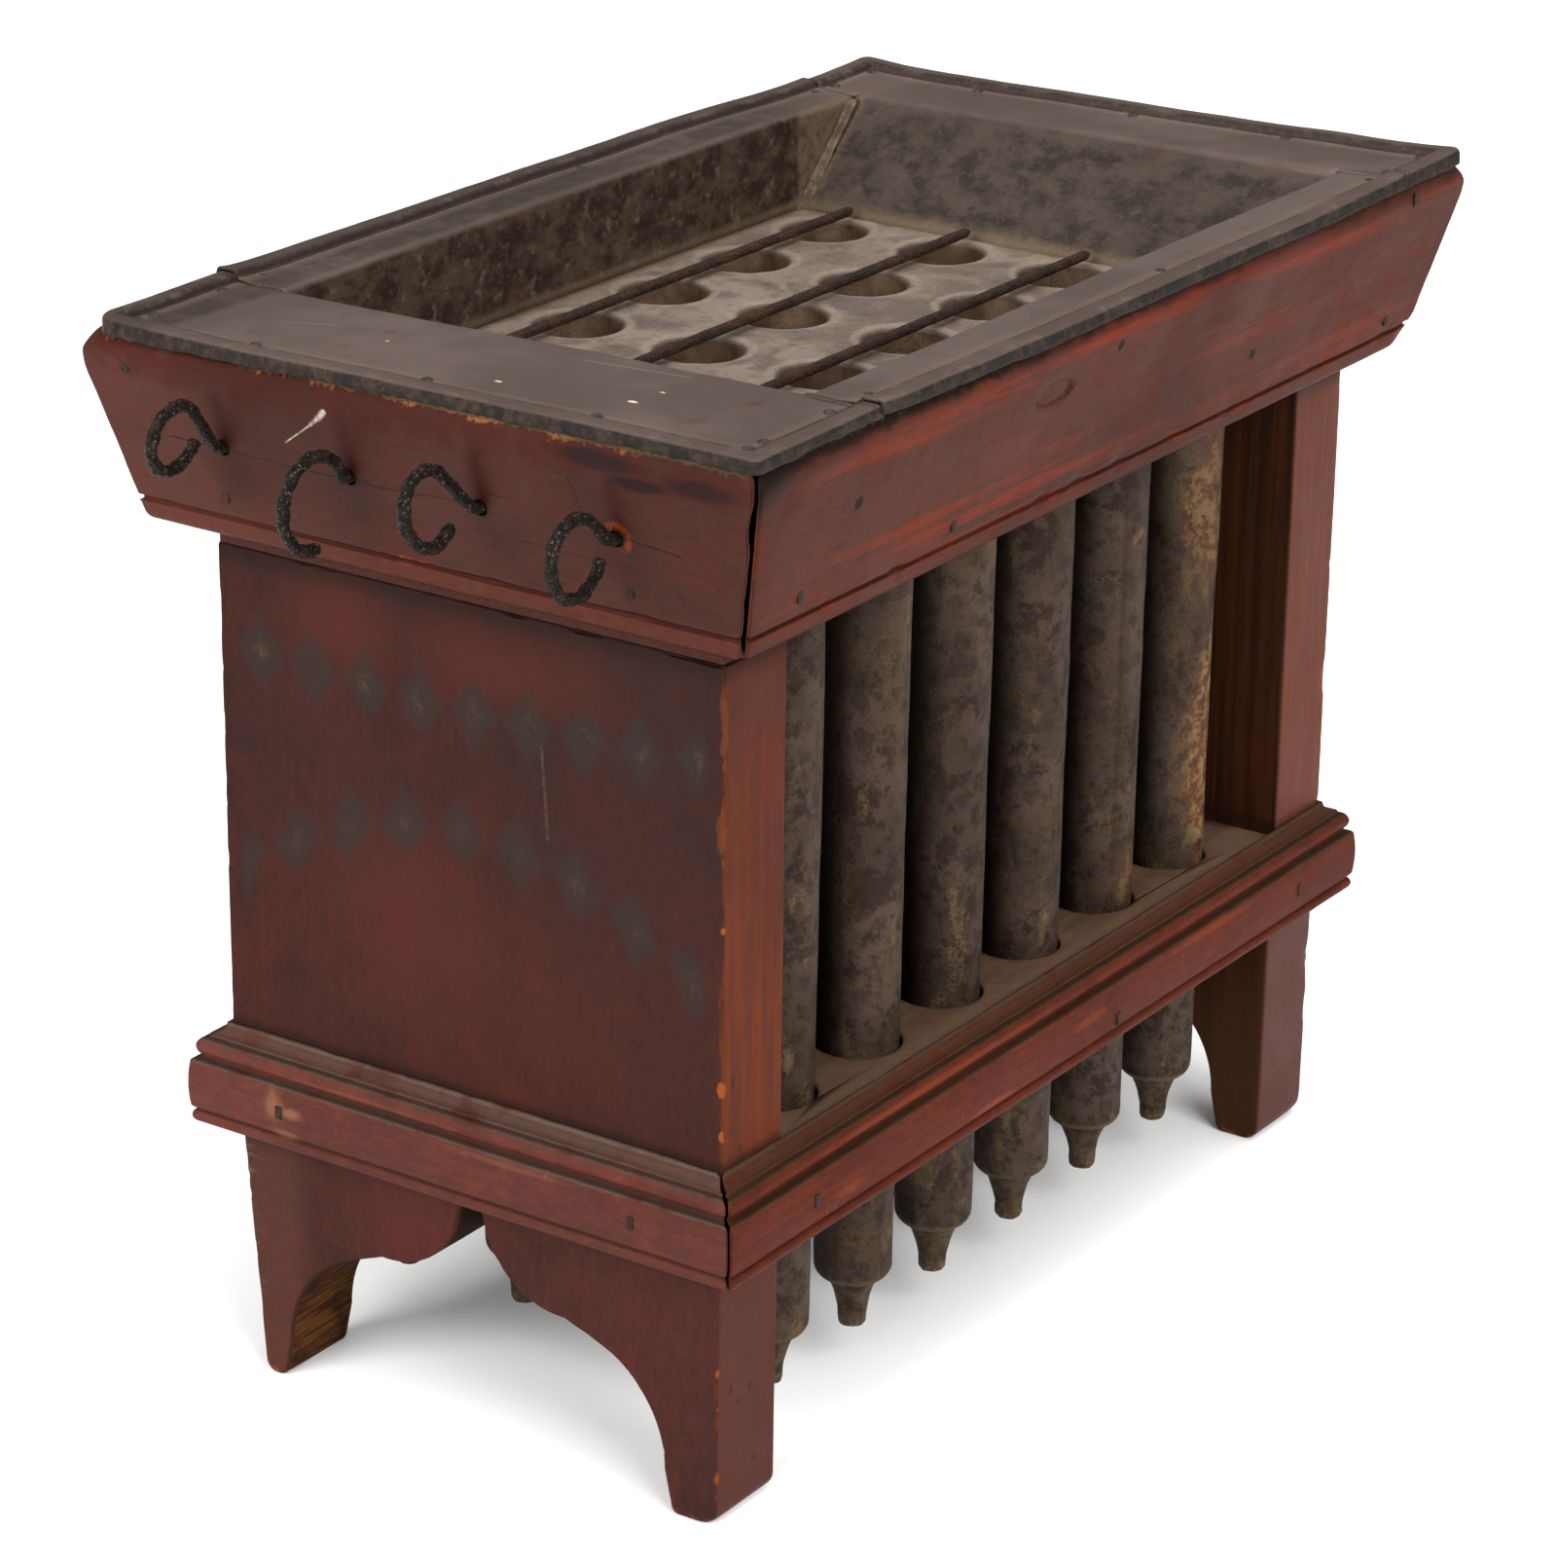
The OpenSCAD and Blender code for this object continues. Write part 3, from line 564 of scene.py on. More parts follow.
def feat_hopper(which):
    def f(s, c, r, h, k):
        wob = s.noise(0.11, 5, 0.65, 91)
        wobf = s.noise(0.45, 4, 0.65, 93)
        a = s.y if which in ("near", "far") else s.x
        # painted shade in the quirk above the bead; the bead rubbed to red in patches and lightened by a painted
        # highlight
        q = s.band(s.add(s.z, s.mul(s.sub(wobf, 0.5), 0.5)), HZ0 + 5.6, HZ0 + 6.9, 0.35)
        c = s.mix(s.mul(q, 0.8), c, S(40, 25, 22))
        bd = s.mul(s.band(s.z, HZ0 + 0.6, HZ0 + 5.2, 1.0), s.sm(wob, 0.36, 0.6))
        if which == "near":
            c = s.mix(s.mul(s.band(s.z, HZ0 + 0.4, HZ0 + 6.0, 0.8), 0.72), c, s.mix(s.sm(wobf, 0.36, 0.62), S(94, 58, 48), S(108, 66, 54)))
            bd = s.mul(bd, 0.45)
        c = s.mix(s.mul(bd, 0.32), c, S(128, 62, 40))
        # painted shade along the bottom edge, in the joint over the bottom board
        c = s.mix(s.mul(s.sm(s.z, HZ0 + 1.3, HZ0 + 0.3), 0.6), c, S(60, 34, 26))
        # grime and painted shade along the top under the tin
        top = s.add(s.z, s.mul(s.sub(wob, 0.5), 9.0 if which != "front" else 7.0))
        if which == "near":
            c = s.mix(s.mul(s.sm(s.y, 30, 78), s.sm(k["mid"], 0.30, 0.60, 0.5, 1.0), 0.30), c, S(126, 84, 74))
            # grime and painted shade: a dark band below the tin's edge
            c = s.mix(s.mul(s.sm(top, 289, 293), s.sm(wob, 0.30, 0.55), 0.62), c, S(84, 38, 30))
            for kk in range(4):
                # painted shadow of each ring's shank: a dark red stripe running up from its hole
                st = s.mul(s.bell(s.y, ty(kk) - 1.0, 2.6), s.band(s.z, RODZ - 1, 292, 3.5))
                c = s.mix(s.mul(st, 0.75), c, S(66, 24, 18))
                sm_ = s.blob(s.y, s.z, (ty(kk) - 3, RODZ - 7), 8, 5.5, wob, 1.6)
                c = s.mix(s.mul(sm_, (0.5, 0.25, 0.3, 0.25)[kk]), c, S(56, 42, 42))
                # painted shade in each rod's hole: a dark disc round the rod
                dk = s.dist2(s.y, s.z, (ty(kk), RODZ))
                c = s.mix(s.sm(s.add(dk, s.mul(wobf, 1.2)), 3.4, 2.6), c, S(22, 14, 11))
            d4 = s.dist2(s.y, s.z, (ty(3) - 0.6, RODZ + 0.4))
            ring = s.mul(s.band(s.add(d4, s.mul(s.sub(wobf, 0.5), 2.0)), 2.6, 4.4, 0.5), s.sm(s.add(s.mul(s.sub(s.y, ty(3)), -1.0), s.sub(s.z, RODZ)), -3.5, 1.5))
            c = s.mix(s.mul(ring, s.sm(wobf, 0.34, 0.5), 0.9), c, S(150, 76, 30))
            # hairline cracks with the grain, and one across it
            wy = s.mul(s.sub(s.noise((0.1, 0.05, 0.1), 3, 0.6, 95), 0.5), 2.4)
            zz = s.add(s.z, wy)
            for p0, p1, w in (((81, 275.2), (10, 274.6), 0.16), ((10, 274.6), (-22, 276.4), 0.11), ((-52, 277.6), (-80, 274.4), 0.15), ((-30, 268.5), (-64, 268.2), 0.08)):
                c = s.mix(s.mul(s.line(s.y, zz, p0, p1, w, 0.14), 0.85), c, S(34, 22, 20))
            c = s.mix(s.mul(s.line(s.y, s.z, (-48.6, 290), (-52.6, 277.4), 0.14, 0.14), 0.85), c, S(34, 22, 20))
            # worn and chipped top edge
            ch = s.sm(s.add(s.z, s.mul(s.sub(wobf, 0.5), 5.5), s.mul(s.sub(wob, 0.5), 6.0)), 299.6, 300.8)
            here = s.add(s.band(s.y, 18, 52, 5), s.band(s.y, -102, 6, 8), s.band(s.y, 78, 98, 4))
            tan = s.mix(s.sm(wobf, 0.42, 0.56), s.U(124, 102, 78), s.U(186, 112, 58))
            tan = s.mix(s.mul(s.sm(s.y, -60, -74), 0.75), tan, s.U(72, 54, 46))
            c = s.mix(s.mul(ch, s.m("MINIMUM", here, 1.0)), c, tan)
            # the dusty top of the board, seen beside the folded tin
            strip = s.sm(s.add(s.z, s.mul(s.sub(wobf, 0.5), 1.8)), 299.9, 300.9)
            c = s.mix(s.mul(strip, 0.92), c, s.mix(s.sm(wobf, 0.4, 0.62), s.U(134, 119, 92), s.U(92, 78, 60)))
            for (py, pz, ra, rb) in ((-89, 294.2, 9, 2.6), (-58, 296.5, 12, 2.4), (-70, 292, 8, 1.6)):
                c = s.mix(s.mul(s.blob(s.y, s.z, (py, pz), ra, rb, wob, 0.8), 0.8), c, S(42, 34, 38))
            # a thin pale drip of paint
            dr = s.mx(s.line(s.y, s.z, (41.2, 281.4), (31.5, 288.3), 0.12, 0.26), s.line(s.y, s.z, (31.5, 288.3), (28.4, 290.9), 0.42, 0.4))
            dr = s.mx(dr, s.line(s.y, s.z, (28.6, 290.7), (26.4, 292.8), 0.72, 0.45))
            c = s.mix(s.mul(dr, s.sm(wobf, 0.2, 0.46)), c, s.mix(s.sm(s.add(wobf, s.mul(s.sub(k["fine"], 0.5), 0.6)), 0.46, 0.62), s.U(216, 202, 182, 0.9), s.U(150, 128, 116, 0.9)))
            h = s.add(h, s.mul(dr, 1.5), s.mul(ch, -0.6))
        if which == "front":
            # grime and painted shade: a dark band close under the tin, strongest towards the near end
            grime_and_shade = s.mul(s.sm(top, 298.4, 300.6), s.add(0.35, s.mul(s.sm(s.x, 60, -60), 0.65)))
            c = s.mix(s.mul(grime_and_shade, 0.9), c, s.U(38, 30, 26))
            crn = s.sm(s.add(s.mul(s.add(s.x, 182), 0.42), s.sub(303, s.z), s.mul(s.sub(wob, 0.5), 16)), 18, 8)
            c = s.mix(s.mul(crn, 0.95), c, s.U(32, 26, 24))
            strip = s.sm(s.add(s.z, s.mul(s.sub(wobf, 0.5), 1.4)), 300.6, 301.6)
            c = s.mix(s.mul(strip, 0.85), c, s.mix(s.sm(wobf, 0.45, 0.62), s.U(54, 43, 34), s.U(100, 86, 62)))
            # rubbed streaks close under the rim
            tr = s.mul(s.band(s.add(s.z, s.mul(s.sub(wob, 0.5), 8.0)), 293.0, 298.5, 2.0), s.sm(s.noise((0.02, 0.4, 0.4), 4, 0.65, 99), 0.44, 0.60), s.sm(s.x, -150, -120))
            c = s.mix(s.mul(tr, 0.55), c, S(158, 70, 38))
            # long streaks where the paint is rubbed to orange
            st = s.noise((0.012, 0.3, 0.30), 4, 0.6, 97)
            for (px, pz, ra, rb, q) in ((-96, 262, 62, 7, 0.50), (-26, 260, 60, 6, 0.42), (-62, 272, 40, 6, 0.35), (60, 296, 90, 4, 0.42), (-110, 294, 44, 3.6, 0.55), (-40, 297.5, 30, 2.8, 0.5), (120, 262, 50, 5, 0.45), (92, 280, 60, 8, 0.35)):
                b = s.mul(s.blob(s.x, s.z, (px, pz), ra, rb, wob, 1.5), s.sm(st, 0.42, 0.66))
                c = s.mix(s.mul(b, q), c, S(176, 78, 38))
            # a dent with a dark rim
            dd = s.dist2(s.x, s.z, (-42.5, 287.3), 9.4, 3.3)
            rim = s.band(s.add(dd, s.mul(s.sub(wobf, 0.5), 0.25)), 0.86, 1.04, 0.07)
            c = s.mix(s.mul(rim, s.sm(wobf, 0.36, 0.56), 0.8), c, S(44, 30, 29))
            c = s.mix(s.mul(s.band(dd, 0.0, 0.8, 0.1), s.sm(wob, 0.40, 0.62), 0.45), c, S(74, 44, 38))
            for (px, pz) in ((150.7, 297.9), (-12, 293), (70, 270), (-132, 281)):
                c = s.mix(s.mul(s.blob(s.x, s.z, (px, pz), 1.5, 1.5, wob, 0.6), 0.9), c, S(34, 24, 24))
        if which in ("far", "back"):
            # grime and painted shade along the top under the tin
            c = s.mix(s.mul(s.sm(top, 297, 300), 0.8), c, S(40, 30, 26))
        # old hand grime
        c = s.mix(s.mul(s.sm(k["low"], 0.52, 0.70), 0.25), c, S(70, 50, 48))
        return mitre_gap_shade(s, c), r, h
    return f


def feat_mould(which):
    def f(s, c, r, h, k):
        wob = s.noise(0.09, 4, 0.6, 111)
        wobf = s.noise(0.6, 4, 0.6, 113)
        zz = s.add(s.z, s.mul(s.sub(wobf, 0.5), 0.6))
        nz = s.normal()[2]
        # dust lying in the cove and the quirks
        up = s.sm(nz, 0.15, 0.75)
        dust = s.mul(s.mx(s.band(zz, MZ - 1.0, MZ + 1.0, 0.5), s.mx(s.mul(up, s.sm(s.z, MZ - 6.5, MZ - 2.5), 0.5), s.mx(s.band(zz, MZ - 4.5, MZ - 3.3, 0.4), s.band(zz, MZ - 10.6, MZ - 9.6, 0.35)))), s.sm(wob, 0.26, 0.52))
        c = s.mix(s.mul(s.sm(s.z, MZ - 6.0, MZ - 3.0), 0.42), c, S(58, 36, 28))
        c = s.mix(s.mul(dust, 0.74), c, s.U(118, 104, 92) if which == "near" else s.U(92, 78, 60))
        # painted shade: dark lines in the quirks
        ql = s.add(s.band(zz, MZ - 10.3, MZ - 9.3, 0.3), s.band(zz, MZ - 25.4, MZ - 24.5, 0.3), s.band(zz, MZ - 4.3, MZ - 3.6, 0.25))
        c = s.mix(s.mul(s.m("MINIMUM", ql, 1.0), 0.78), c, S(50, 36, 30))
        # painted shade along the underside at the moulding's foot
        c = s.mix(s.mul(s.sm(s.z, MZ - 27.8, MZ - 29.2), 0.7), c, S(56, 34, 28))
        # painted highlight along the bead
        bead = s.mul(s.band(s.z, MZ - 9.0, MZ - 4.8, 0.8), s.sm(wob, 0.40, 0.62))
        c = s.mix(s.mul(bead, 0.22), c, S(124, 66, 48))
        # rubbed and pale spots on the fascia
        if which == "front":
            for (px, pz, ra, rb, q) in ((-40, 81, 10, 1.2, 0.5), (10, 88, 8, 1.4, 0.35), (-112, 84, 6, 1.6, 0.4), (80, 92, 22, 1.0, 0.35), (-70, 97.5, 50, 1.0, 0.3)):
                c = s.mix(s.mul(s.blob(s.x, s.z, (px, pz), ra, rb, wobf, 1.2), q), c, S(160, 92, 56))
            c = s.mix(s.mul(s.band(s.z, MZ - 24, MZ - 11, 3), s.sm(s.noise((0.012, 0.3, 0.3), 3, 0.6, 115), 0.5, 0.7), 0.25), c, S(132, 66, 38))
        if which == "near":
            for (py, pz, ra, rb, q) in ((60, 88, 2.4, 4.0, 0.55), (54, 87, 3.2, 1.6, 0.6), (56, 80, 4, 1.4, 0.4), (-20, 92, 16, 0.8, 0.22), (30, 96.6, 26, 0.8, 0.2)):
                c = s.mix(s.mul(s.blob(s.y, s.z, (py, pz), ra, rb, wobf, 1.2), q), c, S(146, 112, 80))
        # short scuffs across the fascia
        scf = s.mul(s.sm(s.noise((0.5, 0.5, 0.11), 3, 0.6, 117), 0.66, 0.72), s.sm(s.noise(0.03, 2, 0.5, 118), 0.50, 0.60), s.band(s.z, MZ - 24, MZ - 11, 1.5))
        c = s.mix(s.mul(scf, 0.4), c, S(176, 104, 72))
        return mitre_gap_shade(s, c), s.add(r, s.mul(dust, 0.3)), s.add(h, s.mul(dust, s.mul(wobf, 0.8)))
    return f


def mat_tin():
    s = Mat("tin_oxidised")
    low = s.noise(0.02, 3, 0.6, 5)
    mid = s.noise(0.09, 5, 0.65, 6, 0.5)
    fine = s.noise(1.3, 5, 0.7, 7)
    spk = s.noise(0.4, 5, 0.68, 8)
    nz = s.normal()[2]
    ax_, ay_ = s.m("ABSOLUTE", s.x), s.m("ABSOLUTE", s.y)
    c = s.mix(s.sm(low, 0.38, 0.64), S(98, 86, 80), S(84, 72, 66))
    c = s.mix(s.mul(s.sm(mid, 0.46, 0.74), 0.28), c, S(74, 62, 56))
    c = s.mix(s.mul(s.sm(fine, 0.5, 0.8), 0.16), c, S(118, 106, 98))
    # scratches and pale specks on the near flange
    fl = s.sm(s.z, FZ - 1.5, FZ - 0.8)
    scr = s.mx(s.line(s.x, s.y, (-151, 62), (-146, 50), 0.18, 0.25), s.line(s.x, s.y, (-133, -52), (-136, -22), 0.12, 0.2))
    c = s.mix(s.mul(scr, fl, 0.4), c, S(170, 158, 150))
    for (px, py, rr) in ((-162.3, -14.7, 0.9), (-157.2, -52.0, 1.2), (-146.9, -53.7, 0.6), (-150, 30, 0.5)):
        d = s.dist2(s.x, s.y, (px, py), rr * 0.7, rr * 1.2)
        c = s.mix(s.mul(s.sm(s.add(d, s.mul(s.sub(fine, 0.5), 0.8)), 1.1, 0.8), fl), c, S(214, 204, 180))
    # walls of the tray
    wall = s.mul(s.sm(s.z, FZ - 1.6, FZ - 3.4), s.sm(s.z, FLZ - 2, FLZ), s.sm(ax_, RL - 6, RL - 7), s.sm(ay_, RW - 6, RW - 7))
    bw = s.mix(s.sm(s.noise((0.10, 0.10, 0.15), 5, 0.7, 19), 0.38, 0.64), S(42, 31, 25), S(74, 60, 49))
    bw = s.mix(s.mul(s.sm(spk, 0.54, 0.68), 0.42), bw, S(104, 80, 56))
    bw = s.mix(s.mul(s.sm(s.noise(0.16, 4, 0.6, 12), 0.56, 0.68), 0.7), bw, S(98, 88, 74))
    fw = s.mix(s.sm(s.noise((0.10, 0.10, 0.16), 5, 0.72, 18), 0.40, 0.64), S(70, 60, 54), S(46, 38, 34))
    fw = s.mix(s.mul(s.sm(spk, 0.52, 0.72), 0.45), fw, S(88, 76, 64))
    fw = s.mix(s.mul(s.sm(s.noise(0.035, 4, 0.6, 20), 0.50, 0.64), s.sm(s.y, 10, 50), 0.5), fw, S(92, 82, 66))
    fw = s.mix(s.mul(s.sm(s.z, FZ - 7, FZ - 3), 0.45), fw, S(84, 72, 66))
    c = s.mix(s.mul(s.sm(s.y, OW - 2, OW + 3), s.sm(s.x, 170, 100), s.sm(s.z, FZ - 3, FZ - 1), s.sm(mid, 0.30, 0.60, 0.5, 1.0), 0.70), c, S(34, 24, 20))
    wc = s.mix(s.sm(s.x, FF - 2, FF + 4), bw, fw)
    c = s.mix(wall, c, wc)
    base = s.mul(wall, s.sm(s.add(s.z, s.mul(s.sub(spk, 0.5), 4.0)), FLZ + 4.5, FLZ + 1.0))
    c = s.mix(s.mul(base, 0.7), c, S(112, 96, 76))
    # a soft dull band where two walls meet at a far corner
    crn = s.mul(wall, s.mx(s.mul(s.sm(ay_, OW - 5.5, OW - 2.0), s.sm(s.x, FF - 2, FF + 1)), s.mul(s.sm(ay_, OW - 1.4, OW - 0.8), s.sm(s.sub(s.x, s.mul(s.sub(s.z, FLZ), 0.9)), FF - 6.5, FF - 3.0))))
    c = s.mix(s.mul(crn, s.sm(spk, 0.30, 0.55), 0.6), c, S(116, 100, 78))
    # dust along the foot of the raised edge
    ed = s.attr("edge")
    du = s.mul(s.mx(s.band(ed, EW + 0.9, EW + 2.2, 0.5), s.mul(s.band(ed, EW + 1.6, EW + 5.0, 1.6), 0.55)), s.sm(mid, 0.24, 0.46))
    # painted shadow along the inner step of the raised edge
    c = s.mix(s.mul(s.band(ed, EW - 1.4, EW + 0.9, 0.4), s.sm(spk, 0.30, 0.52, 0.6, 1.0), 0.85), c, S(40, 31, 27))
    c = s.mix(s.mul(du, 0.46), c, S(118, 104, 86))
    # seams of the sheets
    sm_ = s.mul(s.mx(s.bell(s.x, -ON - 3.2, 0.5), s.bell(s.x, OF + 3.2, 0.5)), fl, s.sm(ay_, OW + 2, OW + 4))
    c = s.mix(s.mul(sm_, 0.8), c, S(34, 26, 22))
    # outer lip, nearly black
    c = s.mix(s.mul(s.sm(ed, EW - 0.5, EW - 1.5), 0.55), c, S(62, 50, 43))
    lip = s.mul(s.sm(ed, 1.9, 0.9), s.sm(nz, 0.86, 0.5))
    c = s.mix(s.mul(lip, 0.96), c, s.mix(s.sm(s.add(s.mul(s.add(mid, spk), 0.5), s.mul(s.sub(fine, 0.5), 0.16), s.mul(s.sm(s.x, -178, -186), 0.03)), 0.42, 0.66), S(20, 15, 13), S(62, 50, 42)))
    # bright rubbed crests
    wr = s.mul(s.attr("wear"), s.inv(lip), s.sm(s.add(mid, s.mul(s.sub(fine, 0.5), 0.5)), 0.50, 0.66))
    c = s.mix(s.mul(wr, 0.34), c, S(118, 104, 94))
    rust = s.mul(s.sm(s.noise(0.05, 5, 0.7, 14), 0.60, 0.72), 0.55)
    c = s.mix(rust, c, S(74, 50, 38))
    h = s.add(s.mul(fine, 0.5), s.mul(spk, 0.8), s.mul(mid, 0.6))
    r = s.add(0.50, s.mul(s.sub(mid, 0.5), 0.45), s.mul(s.sub(fine, 0.5), 0.25), s.mul(du, 0.25), s.mul(wall, 0.12))
    s.con(s.mul(s.inv(s.sm(ed, EW - 0.8, EW - 2.5)), 0.2), s.b.inputs["Metallic"])
    return s.done(c, s.add(r, s.mul(lip, 0.25)), s.bump(h, 0.35, 0.0002), (1.22, 1.17, 1.15), 0.14)


def mat_floor_tin():
    s = Mat("tray_floor_dust")
    mid = s.noise(0.045, 5, 0.6, 25, 0.8)
    big = s.noise(0.018, 3, 0.5, 26)
    fine = s.noise(1.1, 5, 0.7, 27)
    cu = s.m("WRAP", s.add(s.x, -tx(0)), PITCH / 2, -PITCH / 2)
    cv = s.m("WRAP", s.add(s.y, -ty(3)), PITCH / 2, -PITCH / 2)
    d = s.m("SQRT", s.add(s.mul(cu, cu), s.mul(cv, cv)))
    c = s.mix(s.sm(mid, 0.42, 0.60), S(150, 137, 122), S(112, 101, 94))
    c = s.mix(s.mul(s.sm(big, 0.45, 0.62), 0.5), c, S(128, 112, 96))
    # lighter solder ring, then a dark line round each tube's mouth
    ring = s.band(s.add(d, s.mul(s.sub(mid, 0.5), 3)), TR1 + 1.0, TR1 + 3.2, 0.8)
    c = s.mix(s.mul(ring, 0.55), c, S(166, 152, 134))
    c = s.mix(s.mul(s.sm(d, TR1 + 0.8, TR1 - 0.2), 0.75), c, S(66, 54, 44))
    # brown traffic lines under the rods
    rod = s.mul(s.bell(cv, 0.0, 2.6), s.sm(mid, 0.30, 0.55))
    c = s.mix(s.mul(rod, 0.5), c, S(92, 74, 60))
    st = s.sm(s.noise(0.13, 4, 0.65, 29), 0.58, 0.70)
    c = s.mix(s.mul(st, 0.5), c, S(96, 78, 64))
    c = s.mix(s.mul(s.sm(fine, 0.52, 0.8), 0.35), c, S(170, 156, 138))
    mot = s.noise(0.5, 5, 0.7, 33)
    c = s.mix(s.mul(s.sm(mot, 0.48, 0.62), 0.30), c, S(104, 90, 76))
    c = s.mix(s.mul(s.sm(s.add(mot, s.mul(s.sub(fine, 0.5), 0.6)), 0.42, 0.34), 0.25), c, S(172, 160, 142))
    edge = s.mx(s.sm(s.m("ABSOLUTE", s.y), OW - 8, OW - 1), s.mx(s.sm(s.x, FF - 9, FF - 1), s.sm(s.x, -ON + 12, -ON + 4)))
    c = s.mix(s.mul(edge, s.sm(mid, 0.3, 0.6), 0.6), c, S(142, 122, 98))
    h = s.add(s.mul(fine, 0.7), s.mul(s.noise(0.3, 4, 0.6, 30), 0.8))
    r = s.add(0.66, s.mul(s.sub(mid, 0.5), -0.25), s.mul(s.sub(fine, 0.5), 0.3))
    return s.done(c, r, s.bump(h, 0.5, 0.0003), (0.86, 0.82, 0.84), 0.10)


def mat_tube():
    s = Mat("tube_tinplate")
    low = s.noise(0.03, 3, 0.55, 1)
    mid = s.noise(0.075, 4, 0.62, 2, 0.4)
    fine = s.noise(1.0, 5, 0.72, 3)
    mot = s.noise(0.28, 5, 0.68, 4)
    c = s.mix(s.sm(low, 0.40, 0.62), S(94, 84, 78), S(76, 66, 60))
    c = s.mix(s.mul(s.sm(mot, 0.46, 0.62), 0.45), c, S(62, 51, 45))
    # round dark brown blooms
    bl = s.sm(s.add(s.cells(0.13, 3), s.mul(s.sub(mot, 0.5), 1.5), s.mul(s.sub(mid, 0.5), 2.0)), 0.26, 0.10)
    c = s.mix(s.mul(bl, 0.5), c, S(46, 32, 27))
    c = s.mix(s.mul(s.sm(s.add(mid, s.mul(s.sub(mot, 0.5), 0.7)), 0.50, 0.64), 0.72), c, S(50, 35, 29))
    # pale oxide, granular, thickest low down and in streaks
    zlow = s.add(s.mul(s.sm(s.z, 165, 100), 0.085), s.mul(s.sm(s.z, 40, 20), 0.03))
    pal = s.sm(s.add(s.noise((0.10, 0.10, 0.035), 4, 0.6, 9), s.mul(s.sub(fine, 0.5), 0.36), zlow), 0.60, 0.70)
    c = s.mix(s.mul(pal, 0.62), c, s.mix(s.sm(mot, 0.4, 0.6), S(140, 126, 96), S(112, 100, 82)))
    c = s.mix(s.mul(s.sm(fine, 0.58, 0.70), 0.5), c, S(134, 120, 96))
    c = s.mix(s.mul(s.sm(fine, 0.44, 0.32), 0.55), c, S(38, 30, 26))
    oliv = s.mul(s.sm(s.noise((0.06, 0.06, 0.022), 3, 0.6, 16), 0.50, 0.66), s.sm(fine, 0.35, 0.60))
    c = s.mix(s.mul(oliv, 0.5), c, S(108, 96, 66))
    # one tube of the front row has a large rusty patch
    wob = s.noise((0.14, 0.14, 0.05), 4, 0.65, 15)
    for (px, pz, ra, rb, q) in ((tx(5) + 1, 138, 8, 34, 0.95), (tx(5) - 1, 212, 8, 26, 0.6), (tx(2) + 3, 238, 4, 10, 0.4), (tx(1) + 4, 225, 3, 14, 0.35), (tx(4) - 1, 214, 3, 3, 0.5), (tx(4) + 1, 110, 8, 9, 0.5)):
        m = s.mul(s.blob(s.x, s.z, (px, pz), ra, rb, wob, 0.8), s.sm(s.y, ty(3) + 6, ty(3) - 2))
        c = s.mix(s.mul(m, q, s.sm(mot, 0.34, 0.52)), c, s.mix(s.sm(s.add(mot, s.mul(s.sub(fine, 0.5), 0.4)), 0.46, 0.58), S(132, 78, 40), S(158, 142, 104)))
    # soldered tip, a little olive, with a dark seam
    tip = s.sm(s.z, TIP + 17.0, TIP + 15.0)
    c = s.mix(s.mul(tip, 0.62), c, s.mix(s.sm(mot, 0.4, 0.62), S(118, 106, 84), S(72, 60, 50)))
    c = s.mix(s.mul(s.band(s.add(s.z, s.mul(s.sub(mot, 0.5), 1.2)), TIP + 15.4, TIP + 17.6, 0.5), s.sm(mid, 0.34, 0.56), 0.6), c, S(128, 112, 84))
    c = s.mix(s.mul(s.bell(s.z, TIP + 14.7, 0.42), 0.8), c, S(30, 24, 21))
    c = s.mix(s.mul(s.sm(s.z, TIP + 4.5, TIP + 1.5), s.sm(fine, 0.48, 0.60), 0.6), c, S(168, 156, 134))
    # inside: brown stain and old tallow
    inn = s.attr("inner")
    ic = s.mix(s.sm(mid, 0.40, 0.60), S(114, 98, 82), S(86, 72, 58))
    # painted shade, darker deeper down the bore
    ic = s.mix(s.sm(s.z, 262, 236), ic, S(34, 25, 19))
    c = s.mix(inn, c, ic)
    # the seam of the rolled sheet
    c = s.mix(s.mul(s.attr("seam"), 0.7), c, S(52, 44, 38))
    # painted shade between the rows: the tubes darkened towards the middle of the block, less so low down
    row_gap_shade = s.mul(s.sm(s.m("ABSOLUTE", s.y), 69.5, 56), s.sm(s.z, 50, 84, 0.45, 1.0), s.inv(inn))
    # near-black painted shade between the rows
    c = s.mix(s.mul(row_gap_shade, 0.93), c, S(9, 7, 6))
    h = s.add(s.mul(fine, 0.9), s.mul(mot, 0.9), s.mul(pal, 0.6), s.mul(bl, -0.5))
    r = s.add(0.55, s.mul(s.sub(mot, 0.5), 0.4), s.mul(s.sub(fine, 0.5), 0.3), s.mul(pal, 0.15))
    s.b.inputs["Metallic"].default_value = 0.08
    return s.done(c, r, s.bump(h, 0.7, 0.0005), (0.80, 0.67, 0.58), 0.07)


